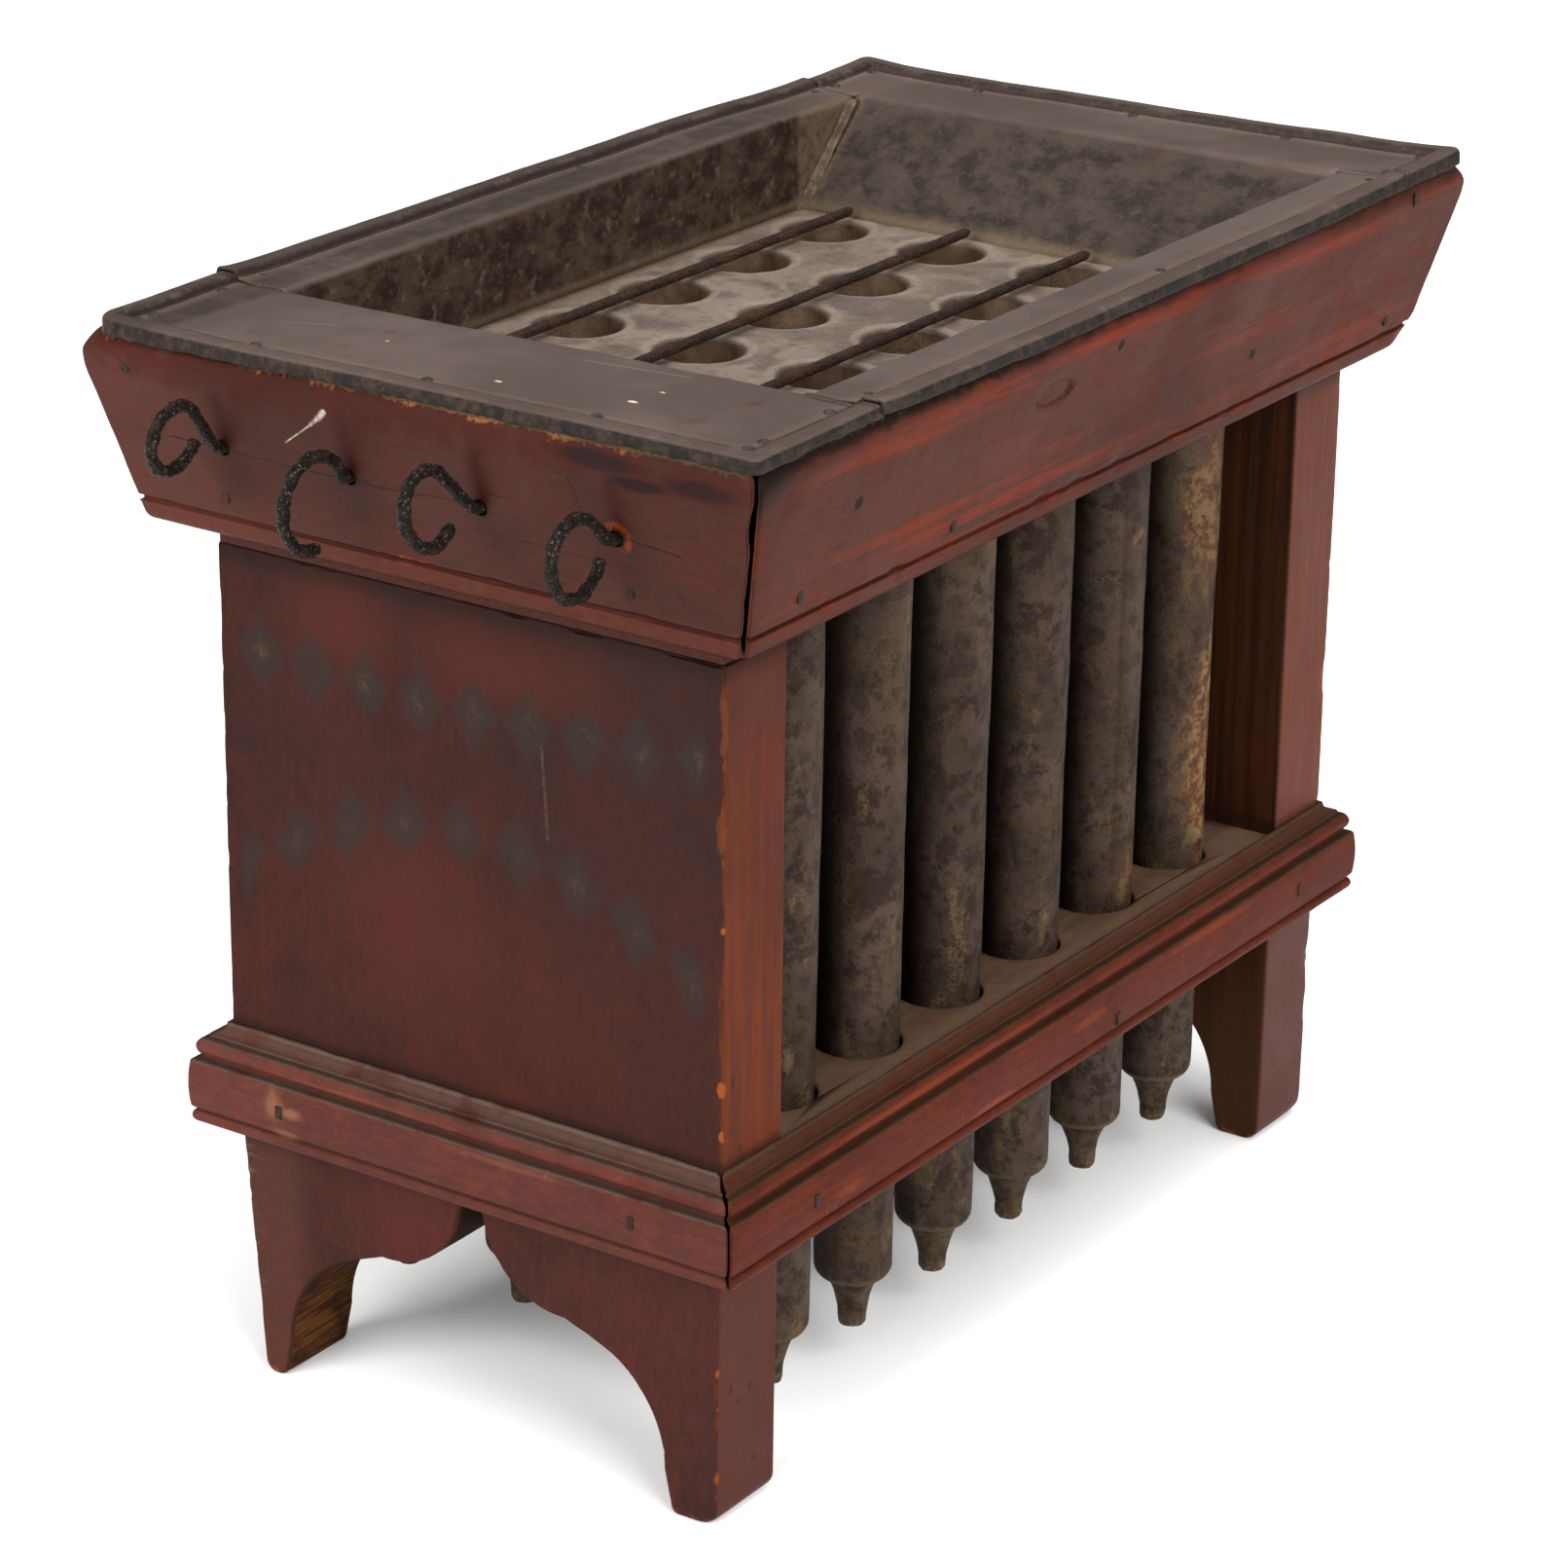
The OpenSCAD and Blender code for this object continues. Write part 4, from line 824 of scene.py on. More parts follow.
def mat_iron():
    s = Mat("wick_rod_iron")
    mot = s.noise(0.45, 5, 0.7, 1)
    fine = s.noise(1.7, 5, 0.75, 2)
    pit = s.cells(1.1, 2)
    ringp = s.sm(s.x, -HL + 2, -HL - 6)
    c = s.mix(s.sm(mot, 0.40, 0.62), S(84, 64, 54), S(56, 42, 36))
    c = s.mix(s.mul(s.sm(s.noise(0.12, 4, 0.6, 4), 0.50, 0.64), 0.75), c, S(112, 74, 50))
    grit = s.noise(2.6, 4, 0.75, 9)
    c = s.mix(ringp, c, s.mix(s.sm(fine, 0.42, 0.62), S(10, 8, 7), S(48, 38, 32)))
    c = s.mix(s.mul(ringp, s.sm(s.noise(0.35, 3, 0.6, 8), 0.50, 0.64), s.sm(grit, 0.34, 0.56), 0.7), c, S(92, 64, 38))
    glint = s.add(s.noise(1.15, 3, 0.65, 6), s.mul(s.sub(grit, 0.5), 0.5))
    c = s.mix(s.mul(ringp, s.sm(glint, 0.60, 0.66), 0.85), c, S(168, 156, 140))
    c = s.mix(s.mul(s.sm(s.normal()[2], 0.2, 0.9), s.inv(ringp), 0.3), c, S(84, 68, 56))
    h = s.add(s.mul(fine, 1.0), s.mul(mot, 0.8), s.mul(s.sm(pit, 0.5, 0.1), -0.8), s.mul(ringp, s.mul(grit, 1.0)))
    r = s.add(0.60, s.mul(s.sub(fine, 0.5), 0.7), s.mul(ringp, -0.16))
    s.b.inputs["Metallic"].default_value = 0.1
    return s.done(c, r, s.bump(h, 1.0, 0.0011), (0.72, 0.64, 0.58), 0.16)


def mat_nail():
    s = Mat("cut_nail_rust")
    mot = s.noise(0.8, 5, 0.7, 1)
    c = s.mix(s.sm(mot, 0.4, 0.62), S(40, 30, 28), S(70, 44, 32))
    s.b.inputs["Metallic"].default_value = 0.3
    return s.done(c, s.add(0.6, s.mul(s.sub(mot, 0.5), 0.5)), s.bump(mot, 0.8, 0.0003))


def mat_tack():
    s = Mat("flat_tack_dusty")
    mot = s.noise(0.8, 5, 0.7, 1)
    c = s.mix(s.sm(mot, 0.4, 0.62), S(74, 63, 56), S(50, 40, 35))
    return s.done(c, s.add(0.62, s.mul(s.sub(mot, 0.5), 0.4)), s.bump(mot, 0.5, 0.0002))


def mat_solder():
    s = Mat("corner_solder_dull")
    mot = s.noise(0.25, 5, 0.65, 1)
    fine = s.noise(1.4, 4, 0.7, 2)
    c = s.mix(s.sm(mot, 0.38, 0.62), S(112, 96, 75), S(82, 68, 54))
    c = s.mix(s.mul(s.sm(fine, 0.55, 0.75), 0.3), c, S(126, 110, 86))
    s.b.inputs["Metallic"].default_value = 0.15
    return s.done(c, s.add(0.55, s.mul(s.sub(mot, 0.5), 0.4)), s.bump(s.add(mot, fine), 0.5, 0.0004))


def mat_shelf():
    s = Mat("shelf_dusty_wood")
    g1 = s.noise((0.012, 0.35, 0.35), 4, 0.6, 1)
    g2 = s.noise((0.05, 1.6, 1.6), 3, 0.6, 2)
    mid = s.noise(0.05, 4, 0.6, 3)
    fine = s.noise(1.6, 5, 0.7, 4)
    c = s.mix(s.sm(g1, 0.38, 0.64), S(84, 66, 54), S(64, 48, 38))
    c = s.mix(s.mul(s.sm(g2, 0.5, 0.7), 0.4), c, S(46, 34, 27))
    top = s.sm(s.normal()[2], 0.5, 0.9)
    du = s.mul(top, s.add(0.35, s.mul(s.sm(s.y, -BW + 16, -BW + 3), 0.6), s.mul(s.sm(mid, 0.45, 0.65), 0.35)))
    c = s.mix(s.m("MINIMUM", du, 0.85), c, s.mix(s.sm(fine, 0.4, 0.65), S(98, 80, 66), S(116, 98, 82)))
    cu = s.m("WRAP", s.add(s.x, -tx(0)), PITCH / 2, -PITCH / 2)
    cv = s.m("WRAP", s.add(s.y, -ty(3)), PITCH / 2, -PITCH / 2)
    d = s.m("SQRT", s.add(s.mul(cu, cu), s.mul(cv, cv)))
    # painted shade round each tube where it passes through the shelf
    c = s.mix(s.mul(s.sm(s.add(d, s.mul(mid, 4)), 16.5, 13.0), 0.7), c, S(40, 29, 23))
    c = s.mix(s.mul(s.sm(s.normal()[2], -0.5, -0.9), 0.8), c, s.mix(s.sm(g1, 0.4, 0.6), S(84, 54, 34), S(60, 38, 26)))
    return s.done(c, s.add(0.78, s.mul(s.sub(fine, 0.5), 0.3)), s.bump(s.add(s.mul(g2, 0.8), fine), 0.6, 0.0004), (1.4, 1.2, 1.06), 0.08)


# ---------------------------------------------------------------- shapes
def vnormals(V, F):
    N = np.zeros_like(V)
    for f in F:
        p = V[list(f)]
        q = np.roll(p, -1, 0)
        n = np.array([((p[:, 1] - q[:, 1]) * (p[:, 2] + q[:, 2])).sum(), ((p[:, 2] - q[:, 2]) * (p[:, 0] + q[:, 0])).sum(), ((p[:, 0] - q[:, 0]) * (p[:, 1] + q[:, 1])).sum()])
        for i in f:
            N[i] += n
    L = np.linalg.norm(N, axis=1)
    return N / np.maximum(L, 1e-9)[:, None]


def weather(V, F, wear, seed, swell=0.10, chip=0.5):
    """Hand-planed faces that are never quite flat, and bruised arrises."""
    N = vnormals(V, F)
    d = swell * fbm(V, 0.02, 2, seed) + 0.03 * vnoise(V, 0.22, seed + 3)
    bruise = np.clip(fbm(V, 0.10, 2, seed + 11) * 1.6 - 0.25, 0, 1) + np.clip(vnoise(V, 0.45, seed + 17) * 1.2 - 0.55, 0, 1)
    d = d - chip * wear * np.minimum(bruise, 1.2)
    return V + N * d[:, None]


def inside(pts, loop):
    """Even-odd test, vectorised."""
    x, y = pts[:, 0][:, None], pts[:, 1][:, None]
    x0, y0 = loop[:, 0][None], loop[:, 1][None]
    x1, y1 = np.roll(loop[:, 0], -1)[None], np.roll(loop[:, 1], -1)[None]
    cond = (y0 > y) != (y1 > y)
    with np.errstate(divide="ignore", invalid="ignore"):
        xi = x0 + (y - y0) * (x1 - x0) / (y1 - y0)
    return (np.where(cond, x < xi, False).sum(1) % 2) == 1


def gap_to(pts, loop):
    """Distance from each point to the closed loop's points' segments."""
    a, b = loop, np.roll(loop, -1, 0)
    ab = b - a
    L2 = np.maximum((ab ** 2).sum(1), 1e-12)
    out = np.full(len(pts), 1e9)
    for i in range(0, len(pts), 400):
        p = pts[i:i + 400][:, None]
        t = np.clip(((p - a) * ab).sum(2) / L2, 0, 1)
        d = np.linalg.norm(p - (a + ab * t[..., None]), axis=2)
        out[i:i + 400] = d.min(1)
    return out


def fill(loops, extra):
    """Triangles over the region inside the first loop and outside the others. The loops' points come first, in order."""
    pts, edges = [], []
    for lp in loops:
        o = len(pts)
        pts += [Vector(p) for p in lp]
        edges += [(o + i, o + (i + 1) % len(lp)) for i in range(len(lp))]
    pts += [Vector(p) for p in extra]
    vo, _, fo, ov, _, _ = delaunay_2d_cdt(pts, edges, [], 0, 1e-6)
    co = np.array([tuple(v) for v in vo])
    tri = np.array([f for f in fo if len(f) == 3])
    cen = co[tri].mean(1)
    ok = inside(cen, np.array(loops[0]))
    for lp in loops[1:]:
        ok &= ~inside(cen, np.array(lp))
    tri = tri[ok]
    back = {}
    for i, srcs in enumerate(ov):
        back[i] = min(srcs) if srcs else None
    new = len(pts)
    more, ids = [], []
    for i in range(len(co)):
        if back[i] is None:
            ids.append(new)
            more.append(co[i])
            new += 1
        else:
            ids.append(back[i])
    ids = np.array(ids)
    P = np.array([tuple(p) for p in pts] + [tuple(m) for m in more])
    T = ids[tri]
    a, b, c = P[T[:, 0]], P[T[:, 1]], P[T[:, 2]]
    area = (b[:, 0] - a[:, 0]) * (c[:, 1] - a[:, 1]) - (b[:, 1] - a[:, 1]) * (c[:, 0] - a[:, 0])
    T[area < 0] = T[area < 0][:, ::-1]
    return P, [tuple(int(i) for i in t) for t in T if len(set(t)) == 3]


def hexgrid(x0, x1, y0, y1, s):
    out = []
    for j, y in enumerate(np.arange(y0, y1 + s / 2, s * 0.866)):
        for x in np.arange(x0 + (s / 2 if j % 2 else 0), x1 + s / 2, s):
            out.append((x, y))
    P = np.array(out)
    P += 0.12 * s * np.stack([np.sin(P[:, 0] * 3.1 + P[:, 1] * 1.7), np.cos(P[:, 0] * 1.3 - P[:, 1] * 2.9)], 1)
    return P


# ---------------------------------------------------------------- end boards
def end_outline():
    flip = lambda p: [(-a, b) for a, b in reversed(p)]
    arch = [(-67.5, 0), (-66.4, 0.5), (-65.6, 1.6), (-63.2, 12.5)] + arc((-31, 12.5), 32.2, 180, 107, 20) + arc((-29.5, 73), 26, -93, -8, 20) + [(-2.5, 73.4)]
    return ([(-BW, BH), (-BW, 74.5), (-BW + 0.6, 74)] + arc((-BW + 6, 5), 5, 180, 270, 6) + arch + flip(arch)
            + arc((BW - 12.5, 4), 4, -90, 0, 6) + [(BW - 2.6, 74), (BW, 74.5), (BW, BH)])


def end_board(name, side, mat, seed):
    loop, wear = fillet(end_outline(), 1.2, 4)
    loop, wear = densify(loop, wear, 2.0)
    n = len(loop)
    N = normals2(loop)
    R = 0.9
    rnd = [(R * (1 - math.cos(math.radians(t))), R * (1 - math.sin(math.radians(t)))) for t in (0, 22.5, 45, 67.5, 90)]
    mids = [(R + 1.0, 0), (R + 2.4, 0)] + [(u, 0) for u in np.linspace(6, BT - 6, 6)] + [(BT - R - 2.4, 0), (BT - R - 1.0, 0)]
    rows = rnd + mids + [(BT - u, i) for u, i in reversed(rnd)]
    on_arch = ((loop[:, 1] < 74.2) & (np.abs(loop[:, 0]) < 67.4)).astype(float)
    V, W, A = [], [], []
    for u, i in rows:
        q = loop - N * i
        V.append(np.stack([np.full(n, side * (BL - u)), q[:, 0], q[:, 1]], 1))
        e = min(u, BT - u)
        W.append(np.maximum(wear, math.exp(-max(0, e - R * 0.6) / 1.5)))
        A.append(on_arch * (1.0 if i < 0.02 and R * 1.2 < u < BT - R * 1.2 else 0.0))
    F = grid_faces(len(rows), n, True, 0, False)
    # flat faces
    ring = loop - N * R
    cand = [loop - N * (R + d) for d in (0.9, 2.3)]
    keep = []
    for c, d in zip(cand, (0.9, 2.3)):
        c = c[:: 1 if d < 1 else 2]
        g = gap_to(c, ring)
        keep.append(c[(g > d * 0.9) & inside(c, ring)])
    grid = hexgrid(-BW + 4, BW - 4, 3, BH - 3, 4.6)
    grid = grid[inside(grid, ring)]
    grid = grid[gap_to(grid, ring) > 4.2]
    extra = np.vstack(keep + [grid])
    P, T = fill([ring], extra)
    gp = gap_to(P, ring)
    off = sum(len(v) for v in V)
    for where, u in ((0, 0.0), (1, BT)):
        base = 0 if where == 0 else (len(rows) - 1) * n
        ids = [base + i if i < n else off + i - n for i in range(len(P))]
        V.append(np.stack([np.full(len(P) - n, side * (BL - u)), P[n:, 0], P[n:, 1]], 1))
        W.append(np.exp(-gp[n:] / 1.5))
        A.append(np.zeros(len(P) - n))
        F += [tuple(ids[i] for i in (t if where == 0 else t[::-1])) for t in T]
        off += len(P) - n
    V, W, A = np.vstack(V), np.concatenate(W), np.concatenate(A)
    F = fix_normals(V, F)
    V = weather(V, F, W * (V[:, 0] * side > BL - BT / 2), seed, 0.14, 0.75)
    V[:, 2] = np.maximum(V[:, 2], 0.0)
    return build(name, V, F, "mold", ["end_board_near" if side < 0 else "end_board_far"], mat, dict(wear=W, arch=A), 38)


# ---------------------------------------------------------------- mitred bars
def mould_loop(o):
    p = ([(0, 0), (1.2, 0)] + arc((4.2, 0), 3, 180, 270, 8) + [(4.6, -3), (4.6, -3.8)] + arc((4.6, -6.6), 2.8, 84, -58, 14)
         + [(6.1, -9.4), (6.6, -9.9), (7.9, -10.1)] + arc((-35.9, -17.6), 45, 9, -8, 10) + [(8.2, -24.4), (7.5, -24.8), (7.5, -25.2)]
         + arc((6.6, -27), 1.9, 62, -60, 9) + [(6.6, -29.2), (5.2, -29.9), (0, -30)])
    return [(o + a, MZ + b) for a, b in p]


def hop_loop(h):
    rb, rt = 2.5, 5.6
    cb = (hop_out(h, HZ0 + rb) - rb / math.cos(LEAN), HZ0 + rb)
    ct = (hop_out(h, HZ1 - rt) - rt / math.cos(LEAN), HZ1 - rt)
    ld = math.degrees(LEAN)
    qz = HZ0 + 6.4
    q = (hop_out(h, qz), qz)
    return ([(h - HT, HZ0)] + arc(cb, rb, -90, -ld, 8) + [(q[0] - 0.15, q[1] - 0.9), (q[0] - 0.9, q[1] - 0.6), (q[0] - 0.9, q[1] + 0.2), (q[0] + 0.12, q[1] + 0.6)]
            + arc(ct, rt, -ld, 90, 10) + [(h - HT + FLARE, HZ1)])


def spread(V):
    """The boards reach a little further out at two of the corners."""
    x, y = V[:, 0].copy(), V[:, 1].copy()
    V[:, 1] += 2.2 * ramp(y, 60, 97) * ramp(-x, 120, 180)
    V[:, 0] += 2.6 * ramp(x, 120, 182) * ramp(-y, 45, 95)
    return V


def knock(V):
    """Rounds the outer top corners where the boards meet."""
    P = np.array([HL + 2.6, -HW - 1.0, HZ0 + 1])
    u = np.array([-1, 0.8, 0.15]) / np.linalg.norm([-1, 0.8, 0.15])
    V = V + (2.6 * np.clip(1 - np.linalg.norm(V - P, axis=1) / 9, 0, 1) ** 1.3)[:, None] * u
    for a, b, k, R in ((-1, 1, 4.4, 15), (-1, -1, 2.2, 10), (1, -1, 2.8, 12), (1, 1, 3.0, 12)):
        P = np.array([a * (HL + FLARE) + 2.6 * (a > 0 > b), b * (HW + FLARE) + 2.2 * (b > 0 > a), HZ1])
        d = np.linalg.norm(V - P, axis=1)
        u = np.array([-a, -b, -0.75])
        u /= np.linalg.norm(u)
        V = V + (k * np.clip(1 - d / R, 0, 1) ** 1.5)[:, None] * u
    return V


def mitred(name, pts, c, gp, gn, s, node, mat, seed, r=0.45, seg=1.3, step=2.0, end_r=0.8, carve=None, chip=0.5, swell=0.16):
    loop, wear = fillet(pts, r, 3)
    loop, wear = densify(loop, wear, seg)
    smin, smax = -(loop[:, 0] - c - gn), loop[:, 0] - c - gp
    V, F, W, m, n = bar(loop, wear, smin, smax, s, step, end_r)
    F = fix_normals(V, F)
    V = weather(V, F, W, seed, swell, chip)
    if carve:
        V = carve(V)
    if loop[:, 1].max() > 290:
        V = knock(spread(V))
        V[:, 2] += sag(V[:, 0], V[:, 1]) * np.clip((V[:, 2] - 284) / 16, 0, 1)
    return build(name, V, F, "mold", [node], mat, dict(wear=W), 40)


def drill(ob, cutters, d, x0, x1, z):
    """Cuts round holes along X through a piece, then keeps the plain mesh."""
    cut = bpy.data.meshes.new(ob.name + "_cut")
    V, F = [], []
    for y in cutters:
        o = len(V)
        for x in (x0, x1):
            for i in range(28):
                a = 2 * math.pi * i / 28
                V.append(((x + SX) / 1000, (y + d / 2 * math.cos(a)) / 1000, (z + d / 2 * math.sin(a)) / 1000))
        F += [(o + i, o + (i + 1) % 28, o + 28 + (i + 1) % 28, o + 28 + i) for i in range(28)]
        F += [tuple(o + i for i in reversed(range(28))), tuple(o + 28 + i for i in range(28))]
    cut.from_pydata(V, [], F)
    cut.update()
    co = bpy.data.objects.new(ob.name + "_cut", cut)
    scene.collection.objects.link(co)
    md = ob.modifiers.new("holes", "BOOLEAN")
    md.object = co
    md.operation = "DIFFERENCE"
    md.solver = "EXACT"
    dg = bpy.context.evaluated_depsgraph_get()
    me = bpy.data.meshes.new_from_object(ob.evaluated_get(dg), preserve_all_data_layers=True, depsgraph=dg)
    ob.modifiers.clear()
    old = ob.data
    ob.data = me
    bpy.data.meshes.remove(old)
    bpy.data.objects.remove(co)
    bpy.data.meshes.remove(cut)
    return ob


# ---------------------------------------------------------------- tin
def wave(x, y):
    P = np.stack([np.asarray(x, float), np.asarray(y, float), np.zeros(len(np.atleast_1d(x)))], 1)
    lift = sum(k * np.exp(-np.hypot(P[:, 0] - a, P[:, 1] - b) / 9.0) for a, b, k in ((RL, -RW, 1.3), (RL, RW, 1.0), (-RL, RW, 0.5), (-RL, -RW, -0.3)))
    return 0.42 * vnoise(P, 0.019, 3) + 0.20 * vnoise(P, 0.055, 4) + 0.08 * vnoise(P, 0.13, 5) + lift


def ramp(v, a, b):
    t = np.clip((np.asarray(v, float) - a) / (b - a), 0, 1)
    return t * t * (3 - 2 * t)


def sag(x, y):
    """The tray and the boards under it have dropped a little along the back and the far end."""
    x, y = np.asarray(x, float), np.asarray(y, float)
    return -(1.5 * ramp(y, -30, 104) + 1.2 * ramp(x, 40, 176) * ramp(y, -108, 0)) * (1 - 0.25 * ramp(y, 60, 108) * ramp(x, 120, 180))


def settle(V):
    """The folded edge stands a little inside the boards' outer faces."""
    V = np.asarray(V, float).copy()
    x, y, z = V[:, 0].copy(), V[:, 1].copy(), V[:, 2].copy()
    fx = np.clip((np.abs(x) - 150) / (RL - EW - 1 - 150), 0, 1)
    fy = np.clip((np.abs(y) - 86) / (RW - EW - 1 - 86), 0, 1)
    inx = np.where(x < 0, 2.5, 3.4)
    iny = np.where(y < 0, 2.7, 3.8 + 2.0 * ramp(x, 60, 150) + 1.2 * ramp(x, -120, -175))
    V[:, 0] -= np.sign(x) * inx * fx
    V[:, 1] -= np.sign(y) * iny * fy
    V[:, 2] += sag(x, y) * np.clip((z - FLZ - 4) / 20, 0, 1)
    return V


def edge_dist(V):
    return np.minimum(RL - np.abs(V[:, 0]), RW + 0.25 - np.abs(V[:, 1]))


def edge_open(r_to_d=None):
    """The raised edge's top surface as (inset from the outer line, height), from the lip's foot inward to the flange."""
    p = [(0.0, 301.8), (0.0, 303.0)] + [(1.8 - a, b) for a, b in [(1.8 * math.cos(math.radians(t)), RZ - 1.8 + 1.8 * math.sin(math.radians(t))) for t in (0, 18, 36, 54, 72, 90)]]
    p += [(3.4, RZ), (4.6, RZ)]
    c = (EW - 1.3, RZ - 1.3)
    p += [(c[0] + 1.3 * math.sin(math.radians(t)), c[1] + 1.3 * math.cos(math.radians(t))) for t in (0, 22, 45, 68, 90)]
    p += [(EW + 0.15, FZ + 0.25), (EW + 0.5, FZ)]
    return np.array(p)


def press(x, y, Z):
    """The fold lies flatter along the near end and the front."""
    f = 0.36 * (1 - ramp(x, 60, 172)) * (1 - ramp(y, 40, 100))
    return np.where(Z > FZ, FZ + (Z - FZ) * (1 - f), Z)


def crest(D, Z):
    """How rubbed each point of the section is."""
    return np.exp(-((Z - RZ) / 0.9) ** 2) * np.where((D < 2.6) | (D > 4.6), 1.0, 0.35)


def lip_shift(along, D, Z, seed):
    """In-out and up-down wobble of the folded lip."""
    P = np.stack([along, np.zeros_like(along), np.zeros_like(along)], 1)
    k = np.clip((RZ - 1.0 - Z) / 4.0, 0, 1)
    dz = k * (0.45 * vnoise(P, 0.06, seed) + 0.35 * vnoise(P, 0.22, seed + 1))
    dd = -k * (0.22 + 0.30 * vnoise(P, 0.035, seed + 2) + 0.12 * vnoise(P, 0.16, seed + 3))
    return dd * 0.6, dz


def tin_solid(ob, t=0.8):
    md = ob.modifiers.new("sheet", "SOLIDIFY")
    md.thickness = t / 1000
    md.offset = -1
    md.use_even_offset = False
    return ob


def tray_side(name, s, node, seed):
    E = edge_open()
    r = RW + 0.5
    fl = np.linspace(r - EW - 0.5 - 2.5, OW + 4.0, 5)
    sec = [(r - d, z) for d, z in E] + [(o, FZ) for o in fl]
    sec += [(OW + 2.2 - 2.2 * math.sin(math.radians(t)), FZ - 2.2 + 2.2 * math.cos(math.radians(t))) for t in (0, 15, 30, 45, 60, 75, 90)]
    zs = np.linspace(FZ - 2.2, FLZ, 13)[1:]
    sec = np.array(sec + [(OW, z) for z in zs])
    n = len(sec)
    O, Z = sec[:, 0], sec[:, 1]
    k = np.clip((Z - FLZ) / (300.5 - FLZ), 0, 1)
    top = np.clip((Z - 298.5) / 3.0, 0, 1)
    xa = (-ON + 3.2 - 2.9 * k) * (1 - top) + (-ON + 0.15) * top
    xb = (FF + (OF - FF) * (Z - FLZ) / (FZ - FLZ)) * (1 - top) + (OF - 0.15) * top
    xa = xa - 1.2 * np.clip((O - OW - 3) / 8, 0, 1)
    m = 150
    rows, W, D0 = [], [], r - O
    for j in range(m):
        u = j / (m - 1)
        x = xa + u * (xb - xa)
        dd, dz = lip_shift(x, D0, Z, seed) if True else (0, 0)
        flat = np.clip((Z - (FZ - 6)) / 4, 0, 1)
        y = (O - dd * (D0 < 2.4))
        sgn = -1 if s < 0 else 1
        zz = press(x, sgn * O, Z) + wave(x, sgn * O) * flat + dz * (D0 < 2.4) + 0.22 * np.clip((O - OW - 3) / 6, 0, 1)
        # the sheet laps over the end's and springs up a little
        zz = zz + (0.95 * np.exp(-(x - xa) / 5.0) + 0.45 * np.exp(-(xb - x) / 5.0)) * np.clip((O - OW - 9) / 9, 0, 1)
        bulge = (1 - flat) * (0.5 * vnoise(np.stack([x, Z, np.zeros(n)], 1), 0.03, seed + 5) + 0.15 * vnoise(np.stack([x, Z, np.zeros(n)], 1), 0.12, seed + 6)) * np.clip((Z - FLZ) / 6, 0, 1)
        y = y + bulge
        rows.append(np.stack([x, sgn * y, zz], 1))
        e = min(u, 1 - u) * 270
        W.append(np.maximum(crest(D0, Z) * (D0 < EW), 0.8 * np.exp(-e / 1.2)) + 0.5 * np.exp(-((Z - FZ + 0.6) / 0.7) ** 2) * (O < OW + 2.4))
    V = np.vstack(rows)
    F = grid_faces(m, n, False)
    N = vnormals(V, F)
    top_i = [i for i in range(len(V)) if abs(V[i, 2] - FZ) < 1.2 and abs(abs(V[i, 1]) - 95) < 4]
    if N[top_i, 2].mean() < 0:
        F = [f[::-1] for f in F]
    ob = build(name, settle(V), F, "mold", [node], MT["tin"], dict(wear=np.concatenate(W), edge=edge_dist(V)), 50)
    return tin_solid(ob)


